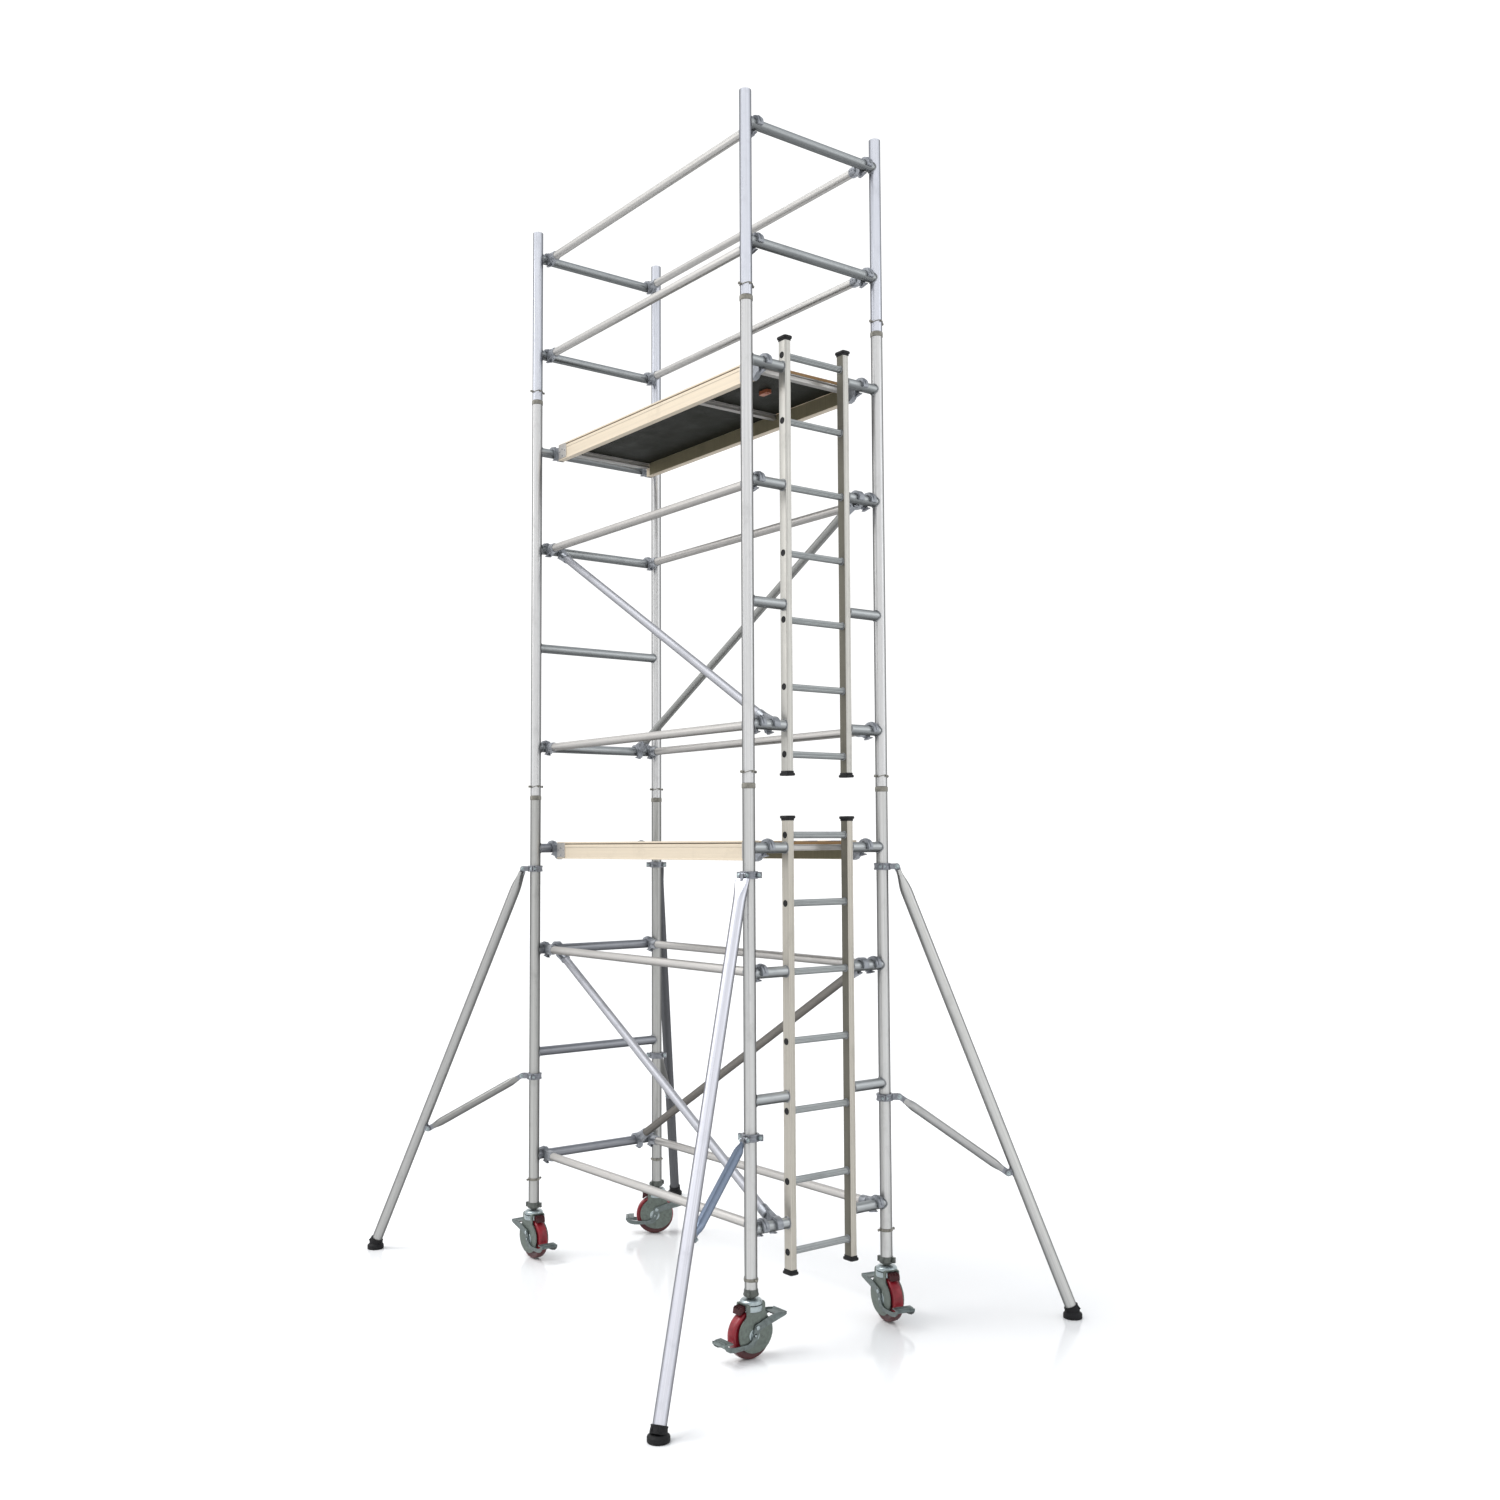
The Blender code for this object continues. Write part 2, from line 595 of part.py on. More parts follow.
def build_outriggers(tower, tube, steel, rubber):
    clamp, leg, strut = post_clamp(), outrigger_leg(), outrigger_strut()
    for corner, values in CORNERS.items():
        heading, reach = math.radians(values[3]), values[4]
        x, y = post_in_tower(corner)
        plane = pivot("outrigger_axis_" + corner, tower, (x, y, 0), heading)
        top, end, strut_foot, strut_head = outrigger_points(reach)
        lean = -math.atan2(end.x - top.x, top.z - end.z)
        strut_lean = math.atan2(strut_head.x - strut_foot.x, strut_head.z - strut_foot.z)
        place("outrigger_clamp_" + corner, clamp, steel, plane, (0, 0, top.z))
        place("outrigger_leg_" + corner, leg, tube, plane, top, (0, lean, 0))
        foot = outrigger_foot(reach, heading)
        place("outrigger_foot_" + corner, foot, rubber, plane)
        place("outrigger_strut_" + corner, strut, tube, plane, strut_foot, (0, strut_lean, 0))
        place("outrigger_lower_clamp_" + corner, clamp, steel, plane, (0, 0, strut_head.z))


# ---- the whole tower ----------------------------------------------------------------------


def build():
    for item in list(bpy.data.objects):
        bpy.data.objects.remove(item)
    tower = pivot("tower_axis", None, (TOWER_X, TOWER_Y, 0))
    tube = material("aluminium_tube", (0.62, 0.64, 0.67), 0.36, 0.9)
    brace_tube = material("brace_tube", (0.72, 0.70, 0.64), 0.38, 0.85)
    beam = material("platform_beam", (0.80, 0.74, 0.60), 0.42, 0.6)
    board = material("deck_board", (0.10, 0.10, 0.09), 0.65, 0.0)
    housing = material("castor_housing", (0.33, 0.37, 0.35), 0.45, 0.7)
    tread = material("castor_tread", (0.30, 0.03, 0.04), 0.45, 0.0)
    pedal = material("castor_pedal", (0.40, 0.43, 0.44), 0.42, 0.7)
    steel = material("clamp_steel", (0.45, 0.47, 0.50), 0.40, 0.9)
    rubber = material("foot_rubber", (0.02, 0.02, 0.02), 0.70, 0.0)
    build_frames(tower, tube)
    build_braces(tower, brace_tube)
    build_platforms(tower, beam, board)
    build_castors(tower, housing, tread, pedal)
    build_outriggers(tower, tube, steel, rubber)


build()
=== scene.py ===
"""Looks of the mobile tower scaffold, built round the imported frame.

Metres, +Z up.  +X is the end with the ladder frames, -Y is the front.
"""
import json
import math
import random

import bmesh
import bpy
from mathutils import Matrix, Vector


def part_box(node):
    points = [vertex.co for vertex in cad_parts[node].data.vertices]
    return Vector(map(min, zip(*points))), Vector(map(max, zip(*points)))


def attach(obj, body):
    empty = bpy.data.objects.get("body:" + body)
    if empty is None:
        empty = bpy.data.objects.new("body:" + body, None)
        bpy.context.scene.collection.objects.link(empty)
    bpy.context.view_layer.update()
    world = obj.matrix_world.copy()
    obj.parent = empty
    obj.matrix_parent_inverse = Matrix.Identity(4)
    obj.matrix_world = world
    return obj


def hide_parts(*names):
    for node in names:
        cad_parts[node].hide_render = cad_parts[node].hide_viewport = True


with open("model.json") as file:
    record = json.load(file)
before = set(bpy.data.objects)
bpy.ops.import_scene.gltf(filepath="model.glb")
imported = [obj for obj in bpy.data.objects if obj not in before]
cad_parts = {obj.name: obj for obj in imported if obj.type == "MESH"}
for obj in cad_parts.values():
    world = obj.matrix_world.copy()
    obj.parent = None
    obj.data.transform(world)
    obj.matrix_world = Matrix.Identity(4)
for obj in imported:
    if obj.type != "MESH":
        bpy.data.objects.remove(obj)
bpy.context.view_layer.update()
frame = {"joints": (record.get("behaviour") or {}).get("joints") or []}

CHANCE = random.Random(20)

# ---- where the frame stands ---------------------------------------------------------------


def middle(node):
    low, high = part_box(node)
    return (low + high) / 2


LEFT_X = middle("base_frame_left").x
RIGHT_X = middle("base_ladder_frame_right").x
TOWER = Vector(((LEFT_X + RIGHT_X) / 2, middle("base_frame_left").y, 0))
END_X = (RIGHT_X - LEFT_X) / 2
RAIL_Y = (middle("rail_1_back").y - middle("rail_1_front").y) / 2
DIAGONAL_Y = (middle("diagonal_back_low").y - middle("diagonal_front_low").y) / 2
JOINT = {joint["name"]: joint for joint in frame["joints"]}
RUNG_PITCH = 0.5
LID_HINGE_Z = 0.0265         # above the axis of the rungs that carry the platform
FIRST_RUNG = JOINT["trapdoor_open_low"]["pos_m"][2] - LID_HINGE_Z - 3 * RUNG_PITCH
HEAD_TOP = JOINT["castor_swivel_front_right"]["pos_m"][2]
WHEEL_RADIUS = JOINT["wheel_spin_front_right"]["pos_m"][2]
PEDAL_PIVOT_Z = JOINT["brake_press_front_right"]["pos_m"][2]
CORNERS = ("front_right", "back_right", "back_left", "front_left")
SIDE_Y = (JOINT["castor_swivel_back_right"]["pos_m"][1]
          - JOINT["castor_swivel_front_right"]["pos_m"][1]) / 2

POST_RADIUS = 0.0254
POST_BORE = 0.0224
SPIGOT = (0.0220, 0.0190)    # outer and inner radius
SPIGOT_ROOT = 0.06           # inside its own post
SPIGOT_LENGTH = 0.12         # above it
RUNG_RADIUS = 0.022
RUNG_BORE = 0.0195
BRACE_RADIUS = 0.019
BRACE_BORE = 0.0165
STILE_Y = 0.16
STILE = (0.045, 0.030)
STILE_WALL = 0.0025
STEP_COUNT = 7               # rungs of one ladder frame's ladder
STEP_PITCH = 0.278
FIRST_STEP = 0.122           # above the frame's lower end
STEP_RADIUS = 0.0136
JOINT_GAP = 0.0003
BASE_BOTTOM = HEAD_TOP + 0.022
BASE_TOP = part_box("mid_frame_left")[0].z - JOINT_GAP
MID_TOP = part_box("guard_frame_left")[0].z - JOINT_GAP
GUARD_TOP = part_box("guard_frame_left")[1].z
BEAM_Y = 0.265
DECK_LIFT = 0.010            # of the platform's own datum above its rungs' axis
BEAM_END = 0.80
BOARD_HALF = 0.2495
MIDDLE_CROSS_X = 0.29
TRAIL = 0.010
PIVOT_OFFSET = 0.062
LEG_LENGTH = 2.010
STRUT_LENGTH = 0.562
STRUT_AT = 0.686
STRUT_LUG = 0.040


def joint_place(name):
    return Vector(JOINT[name]["pos_m"])


def heading_of(corner):
    """The castor's own heading, from its axle's direction."""
    axis = JOINT["wheel_spin_" + corner]["axis"]
    return math.atan2(-axis[0], axis[1])


def outward_of(corner):
    """The outrigger's heading, from its lift hinge."""
    axis = JOINT["leg_lift_" + corner]["axis"]
    return math.atan2(axis[0], -axis[1])


# ---- camera -------------------------------------------------------------------------------
LENS_MM = 34.55
SENSOR_MM = 36.0
CAMERA_FROM_TOWER = (5.4684, -3.8542, 2.0066)
CAMERA_TURNS = (52.675, 93.71, -0.288)      # yaw, tilt from straight down, roll

camera = bpy.data.objects.new("camera", bpy.data.cameras.new("camera"))
bpy.context.scene.collection.objects.link(camera)
camera.data.lens = LENS_MM
camera.data.sensor_width = SENSOR_MM
camera.data.clip_end = 200
yaw, tilt, roll = (math.radians(turn) for turn in CAMERA_TURNS)
camera.matrix_world = (Matrix.Translation(TOWER + Vector(CAMERA_FROM_TOWER))
                       @ Matrix.Rotation(yaw, 4, "Z") @ Matrix.Rotation(tilt, 4, "X")
                       @ Matrix.Rotation(roll, 4, "Z"))
bpy.context.scene.camera = camera
bpy.context.scene.view_settings.view_transform = "Standard"

# ---- materials ----------------------------------------------------------------------------
SIDE_LIGHT_WAY = (-0.606, -0.795, 0.0)       # the level way along which the studio is dimmer


class Nodes:
    """A small helper that adds and links shader nodes."""

    def __init__(self, name):
        self.material = bpy.data.materials.new(name)
        self.material.use_nodes = True
        self.tree = self.material.node_tree
        self.shader = self.tree.nodes["Principled BSDF"]
        self.grain = self.add("ShaderNodeAttribute")
        self.grain.attribute_name = "grain"

    def add(self, kind, **values):
        node = self.tree.nodes.new(kind)
        for key, value in values.items():
            setattr(node, key, value)
        return node

    def link(self, source, target):
        self.tree.links.new(source, target)

    def stretched(self, scale):
        """Grain coordinates scaled along the part's own axes."""
        node = self.add("ShaderNodeVectorMath", operation="MULTIPLY")
        self.link(self.grain.outputs["Vector"], node.inputs[0])
        node.inputs[1].default_value = scale
        return node.outputs[0]

    def noise(self, scale, stretch=(1, 1, 1), detail=3.0, rough=0.55):
        node = self.add("ShaderNodeTexNoise")
        node.inputs["Scale"].default_value = scale
        node.inputs["Detail"].default_value = detail
        node.inputs["Roughness"].default_value = rough
        self.link(self.stretched(stretch), node.inputs["Vector"])
        return node.outputs["Fac"]

    def ramp(self, source, *stops):
        """A colour ramp through (place, value or colour) stops."""
        node = self.add("ShaderNodeValToRGB")
        elements = node.color_ramp.elements
        while len(elements) < len(stops):
            elements.new(0.5)
        for element, (place, value) in zip(elements, stops):
            element.position = place
            colour = (value, value, value) if isinstance(value, (int, float)) else value
            element.color = (*colour, 1)
        self.link(source, node.inputs["Fac"])
        return node.outputs["Color"]

    def mix(self, factor, first, second):
        node = self.add("ShaderNodeMix", data_type="RGBA")
        for socket, value in ((0, factor), (6, first), (7, second)):
            if isinstance(value, bpy.types.NodeSocket):
                self.link(value, node.inputs[socket])
            elif socket == 0:
                node.inputs[0].default_value = value
            else:
                node.inputs[socket].default_value = (*value, 1)
        return node.outputs[2]

    def math(self, operation, first, second=0.0):
        node = self.add("ShaderNodeMath", operation=operation)
        for socket, value in ((0, first), (1, second)):
            if isinstance(value, bpy.types.NodeSocket):
                self.link(value, node.inputs[socket])
            else:
                node.inputs[socket].default_value = value
        return node.outputs[0]

    def fade(self, source, low, high, first=0.0, last=1.0):
        """A soft change from first to last while the source runs from low to high."""
        span = self.add("ShaderNodeMapRange", interpolation_type="SMOOTHSTEP")
        self.link(source, span.inputs["Value"])
        for socket, value in (("From Min", low), ("From Max", high), ("To Min", first),
                              ("To Max", last)):
            span.inputs[socket].default_value = value
        return span.outputs["Result"]

    def upward_part(self, output):
        """The Z part of the surface's normal or of its place in the world."""
        split = self.add("ShaderNodeSeparateXYZ")
        self.link(self.add("ShaderNodeNewGeometry").outputs[output], split.inputs[0])
        return split.outputs["Z"]

    def painted_downward_shade(self):
        """1 where a surface faces down, 0 where it faces sideways or up: the mask for painted shade
        underneath.
        """
        return self.fade(self.upward_part("Normal"), -0.75, 0.25, 1.0, 0.0)

    def painted_floor_shade(self, low, high):
        """1 at the floor, 0 above the given height: painted shade low down on what stands on it."""
        return self.fade(self.upward_part("Position"), low, high, 1.0, 0.0)

    def painted_side_shade(self):
        """1 on the faces that look along one level direction, either way: the mask for painted shade
        on a tube's sides.
        """
        turned = self.add("ShaderNodeVectorMath", operation="DOT_PRODUCT")
        self.link(self.add("ShaderNodeNewGeometry").outputs["Normal"], turned.inputs[0])
        turned.inputs[1].default_value = SIDE_LIGHT_WAY
        return self.fade(self.math("ABSOLUTE", turned.outputs["Value"]), 0.5, 0.95)

    def bump(self, height, strength, distance):
        node = self.add("ShaderNodeBump")
        node.inputs["Strength"].default_value = strength
        node.inputs["Distance"].default_value = distance
        self.link(height, node.inputs["Height"])
        self.link(node.outputs["Normal"], self.shader.inputs["Normal"])

    def done(self, colour, roughness, metallic=0.0, coat=0.0, specular=0.5, rim=1.0):
        self.link(colour, self.shader.inputs["Base Color"])
        self.link(roughness, self.shader.inputs["Roughness"])
        self.shader.inputs["Metallic"].default_value = metallic
        self.shader.inputs["Coat Weight"].default_value = coat
        self.shader.inputs["Coat Roughness"].default_value = 0.12
        self.shader.inputs["Specular IOR Level"].default_value = specular
        self.shader.inputs["Specular Tint"].default_value = (rim, rim, rim, 1)
        return self.material


def aluminium(name, colour, metallic=0.85, roughness=0.34, dark=0.55, streak=0.16, soil=0.25,
              side_shade_share=0.0):
    """Extruded tube: fine die lines along its length, handling marks, painted shade on faces that
    look down and, where asked, painted shade on its sides.
    """
    n = Nodes(name)
    lines = n.noise(240, (1, 1, 0.004), 4.0)
    bands = n.noise(28, (1, 1, 0.06), 3.0)
    marks = n.noise(9, (1, 1, 0.8), 5.0, 0.7)
    light = tuple(min(1.0, part * (1 + streak)) for part in colour)
    deep = tuple(part * (1 - streak) for part in colour)
    base = n.mix(n.ramp(lines, (0.35, 0.0), (0.65, 1.0)), deep, light)
    base = n.mix(n.ramp(bands, (0.42, 0.0), (0.62, 0.5)), base, colour)
    dull = tuple(part * (1 - soil) for part in colour)
    base = n.mix(n.ramp(marks, (0.55, 0.0), (0.72, 0.8)), base, dull)
    # Painted shade: the colour darkens where the surface faces down.
    under = tuple(part * dark for part in colour)
    base = n.mix(n.painted_downward_shade(), base, under)
    # Painted shade on the tube's sides that face the studio's dimmer level way.
    if side_shade_share:
        base = n.mix(n.math("MULTIPLY", n.painted_side_shade(), side_shade_share), base, tuple(0.2 * part
                                                                        for part in colour))
    rough = n.ramp(n.math("ADD", n.math("MULTIPLY", lines, 0.5), n.math("MULTIPLY", marks, 0.5)),
                   (0.3, roughness - 0.07), (0.7, roughness + 0.13))
    n.bump(lines, 0.22, 0.0004)
    return n.done(base, rough, metallic, rim=0.2)


def cast_metal(name, colour, metallic=0.75, roughness=0.42, soil=0.4):
    """Cast or plated steel: mottled, with a fine grain and painted shade on faces that look down."""
    n = Nodes(name)
    mottle = n.noise(60, detail=5.0, rough=0.6)
    fine = n.noise(420, detail=2.0)
    patch = n.noise(14, detail=3.0)
    light = tuple(min(1.0, part * 1.22) for part in colour)
    deep = tuple(part * (1 - soil) for part in colour)
    base = n.mix(n.ramp(mottle, (0.34, 0.0), (0.66, 1.0)), deep, light)
    base = n.mix(n.ramp(patch, (0.45, 0.0), (0.65, 0.55)), base, colour)
    # Painted shade: the colour darkens where the surface faces down.
    base = n.mix(n.math("MULTIPLY", n.painted_downward_shade(), 0.6), base, deep)
    rough = n.ramp(mottle, (0.3, roughness - 0.08), (0.7, roughness + 0.14))
    n.bump(fine, 0.25, 0.0005)
    return n.done(base, rough, metallic)


def polymer(name, colour, roughness, coat=0.0, soil=0.3, grain=300, specular=0.3, floor_shade_share=0.0):
    """Moulded plastic, polyurethane or rubber: faint flow marks, scuffs and dust, and where asked
    painted shade near the floor.
    """
    n = Nodes(name)
    flow = n.noise(35, detail=3.0)
    fine = n.noise(grain, detail=2.0)
    dust = n.noise(90, detail=4.0, rough=0.7)
    deep = tuple(part * (1 - soil) for part in colour)
    pale = tuple(min(1.0, part * 0.8 + 0.05) for part in colour)
    base = n.mix(n.ramp(flow, (0.35, 0.0), (0.65, 1.0)), deep, colour)
    base = n.mix(n.ramp(dust, (0.58, 0.0), (0.8, 0.55)), base, pale)
    # Painted shade: darker near the floor, where the fork and pedals shade the wheel.
    if floor_shade_share:
        dark = tuple(part * 0.18 + 0.008 for part in colour)
        base = n.mix(n.math("MULTIPLY", n.painted_floor_shade(0.035, 0.085), floor_shade_share), base, dark)
    rough = n.ramp(dust, (0.4, roughness), (0.75, min(1.0, roughness + 0.2)))
    n.bump(fine, 0.2, 0.0004)
    return n.done(base, rough, 0.0, coat, specular)


def board_film(name):
    """Film-faced plywood: a moulded mesh grip over a dark film, and layered edges."""
    n = Nodes(name)
    split = n.add("ShaderNodeSeparateXYZ")
    n.link(n.add("ShaderNodeTexCoord").outputs["Normal"], split.inputs[0])
    level = n.math("ABSOLUTE", split.outputs["Z"])
    face = n.ramp(level, (0.45, 0.0), (0.6, 1.0))
    cells = n.add("ShaderNodeTexVoronoi", feature="DISTANCE_TO_EDGE")
    cells.inputs["Scale"].default_value = 190
    cells.inputs["Randomness"].default_value = 0.12
    n.link(n.stretched((1, 1, 0)), cells.inputs["Vector"])
    grip = n.ramp(cells.outputs["Distance"], (0.04, 1.0), (0.22, 0.0))
    wear = n.noise(7, detail=5.0, rough=0.65)
    film = n.mix(n.ramp(wear, (0.4, 0.0), (0.7, 1.0)), (0.004, 0.0048, 0.0034),
                 (0.011, 0.0122, 0.0085))
    film = n.mix(n.math("MULTIPLY", grip, 0.35), film, (0.028, 0.027, 0.02))
    layers = n.add("ShaderNodeTexWave", bands_direction="Z")
    layers.inputs["Scale"].default_value = 120
    layers.inputs["Distortion"].default_value = 0.6
    n.link(n.grain.outputs["Vector"], layers.inputs["Vector"])
    ply = n.mix(layers.outputs["Fac"], (0.2, 0.115, 0.055), (0.42, 0.27, 0.14))
    rough = n.ramp(wear, (0.35, 0.42), (0.7, 0.62))
    n.bump(n.mix(face, (0, 0, 0), grip), 0.5, 0.0006)
    return n.done(n.mix(face, ply, film), rough, 0.0, 0.0, 0.04)


# The posts are one alloy in lit and shaded copies: the darker copy for the left base frame is
# painted shade, the paler mid and bluish guard copies are painted light, the bluish one a painted
# sky reflection.
POST_ALLOY = aluminium("post_alloy", (0.58, 0.58, 0.57), 0.82, 0.32, 0.7, 0.12, 0.18, 0.75)
POST_BLUISH = aluminium("post_bluish", (0.69, 0.71, 0.775), 0.82, 0.3, 0.7, 0.12, 0.16, 0.75)
POST_PALE = aluminium("post_pale", (0.66, 0.66, 0.66), 0.82, 0.32, 0.7, 0.12, 0.18, 0.75)
POST_SHADED = aluminium("post_worn", (0.46, 0.46, 0.445), 0.82, 0.36, 0.7, 0.16, 0.24, 0.75)
RUNG_ALLOY = aluminium("rung_alloy", (0.43, 0.45, 0.455), 0.8, 0.34, 0.34, 0.14)
# The darker rung copy for the left base frame is painted shade.
RUNG_SHADED = aluminium("rung_worn", (0.3, 0.31, 0.335), 0.8, 0.36, 0.4, 0.14)
STILE_BEIGE = aluminium("stile_beige", (0.54, 0.51, 0.45), 0.78, 0.38, 0.7, 0.12, 0.2)
STILE_PALE = aluminium("stile_pale", (0.53, 0.52, 0.485), 0.78, 0.36, 0.7, 0.12, 0.18)
STEP_ALLOY = aluminium("step_alloy", (0.4, 0.42, 0.42), 0.8, 0.36, 0.45)
# Dark sheets on the stiles' inner faces: painted shade.
STILE_SHADE_ALLOY = aluminium("stile_web", (0.16, 0.152, 0.125), 0.5, 0.45, 0.8, 0.14, 0.2)
RAIL_ALLOY = aluminium("rail_alloy", (0.62, 0.6, 0.575), 0.7, 0.34, 0.52, 0.08, 0.12)
GUARD_ALLOY = aluminium("guard_alloy", (0.67, 0.655, 0.63), 0.7, 0.34, 0.58, 0.08, 0.12)
# The braces are one alloy in lit and shaded copies: painted light and shade.
BRACE_BLUISH = aluminium("brace_bluish", (0.43, 0.435, 0.465), 0.5, 0.5, 0.55, 0.12)
BRACE_PALE = aluminium("brace_pale", (0.4, 0.405, 0.39), 0.6, 0.4, 0.55, 0.12)
BRACE_SHADED = aluminium("brace_shaded", (0.25, 0.235, 0.215), 0.8, 0.36, 0.6, 0.14)
# The legs are one alloy in lit and shaded copies, one per corner: painted light and shade.
LEG_ALLOY = {
    "front_right": aluminium("leg_lavender", (0.7, 0.705, 0.765), 0.82, 0.31, 0.6, 0.12, 0.16, 0.75),
    "back_right": aluminium("leg_alloy", (0.58, 0.58, 0.565), 0.82, 0.33, 0.6, 0.14, 0.2, 0.75),
    "back_left": aluminium("leg_shaded", (0.125, 0.128, 0.135), 0.75, 0.36, 0.6, 0.16, 0.2),
    "front_left": aluminium("leg_neutral", (0.46, 0.46, 0.45), 0.82, 0.33, 0.6, 0.14, 0.2, 0.75)}
# The struts are one alloy in lit and shaded copies by corner; the darker copy for the left corners
# is painted shade.
STRUT_BLUE = aluminium("strut_bluish", (0.24, 0.29, 0.38), 0.8, 0.34, 0.6, 0.14, 0.18)
STRUT_ALLOY = aluminium("strut_alloy", (0.44, 0.44, 0.435), 0.8, 0.34, 0.5, 0.12, 0.18, 0.75)
STRUT_SHADED = aluminium("strut_worn", (0.3, 0.3, 0.29), 0.8, 0.36, 0.5, 0.14, 0.2)
BEAM_ALLOY = aluminium("beam_alloy", (0.76, 0.66, 0.52), 0.35, 0.42, 0.62, 0.06, 0.12)
# Dark sheets on the beams' inner faces: painted shade.
BEAM_SHADE_ALLOY = aluminium("liner_alloy", (0.22, 0.195, 0.125), 0.5, 0.45, 0.8, 0.12, 0.2)
# A dark strip in the beams' grooves: painted shade in the groove.
GROOVE_SHADE_ALLOY = aluminium("groove_alloy", (0.13, 0.1, 0.07), 0.4, 0.5, 0.7)
WELD = cast_metal("weld_bead", (0.3, 0.31, 0.32), 0.85, 0.38, 0.3)
CLAW = cast_metal("claw_casting", (0.29, 0.305, 0.33), 0.75, 0.38, 0.3)
CLIP = cast_metal("clip_steel", (0.25, 0.24, 0.21), 0.75, 0.4, 0.4)
STEM = cast_metal("stem_steel", (0.115, 0.125, 0.115), 0.75, 0.38, 0.4)
STEEL = cast_metal("clamp_steel", (0.24, 0.25, 0.275), 0.8, 0.36, 0.35)
ZINC = cast_metal("zinc_housing", (0.15, 0.178, 0.158), 0.55, 0.42, 0.35)
ZINC_BRIGHT = cast_metal("zinc_bright", (0.38, 0.44, 0.45), 0.75, 0.3, 0.25)
DARK_STEEL = cast_metal("dark_steel", (0.04, 0.05, 0.05), 0.6, 0.45, 0.3)
PEDAL = cast_metal("pedal_steel", (0.165, 0.195, 0.19), 0.65, 0.38, 0.4)
RIM = polymer("wheel_core", (0.105, 0.02, 0.026), 0.5, 0.0, 0.3)
# The tread's last value paints shade on it near the floor.
TREAD = polymer("polyurethane_tread", (0.26, 0.01, 0.02), 0.34, 0.15, 0.35, 160, 0.4, 0.92)
SHOE = polymer("brake_shoe", (0.055, 0.01, 0.012), 0.45, 0.0, 0.3)
BLACK = polymer("black_plastic", (0.01, 0.01, 0.011), 0.5, 0.0, 0.3)
RUBBER = polymer("foot_rubber", (0.008, 0.008, 0.009), 0.62, 0.0, 0.3, 220)
LATCH = polymer("latch_plastic", (0.24, 0.07, 0.03), 0.45, 0.1, 0.2)
FILM = board_film("deck_film")

# ---- mesh building ------------------------------------------------------------------------
ROUND = 40
FINE = 24
SMOOTH_ANGLE = math.radians(38)


def mm(*points):
    """Points given in millimetres, in metres."""
    return [tuple(part / 1000 for part in point) for point in points]


def ring(radius, count, z):
    turns = [2 * math.pi * i / count for i in range(count)]
    return [(radius * math.cos(turn), radius * math.sin(turn), z) for turn in turns]


def arc(radius, start, end, count, centre=(0, 0)):
    """Points on an arc, start and end in degrees."""
    turns = [math.radians(start + (end - start) * i / count) for i in range(count + 1)]
    return [(centre[0] + radius * math.cos(turn), centre[1] + radius * math.sin(turn))
            for turn in turns]


def along(start, end):
    """A matrix whose Z runs from start towards end, and the distance between them."""
    start, end = Vector(start), Vector(end)
    z_axis = (end - start).normalized()
    guide = Vector((0, 1, 0)) if abs(z_axis.z) > 0.95 else Vector((0, 0, 1))
    x_axis = guide.cross(z_axis).normalized()
    turn = Matrix((x_axis, z_axis.cross(x_axis), z_axis)).transposed().to_4x4()
    return Matrix.Translation(start) @ turn, (end - start).length


def towards(direction, place=(0, 0, 0)):
    """A matrix at a place whose Z points in a direction."""
    place = Vector(place)
    return along(place, place + Vector(direction))[0]


def moved(x=0.0, y=0.0, z=0.0):
    return Matrix.Translation((x, y, z))


def turned(degrees, axis):
    return Matrix.Rotation(math.radians(degrees), 4, axis)


UPRIGHT_XZ = Matrix(((1, 0, 0, 0), (0, 0, -1, 0), (0, 1, 0, 0), (0, 0, 0, 1)))
QUARTER_Y = turned(90, "Y")


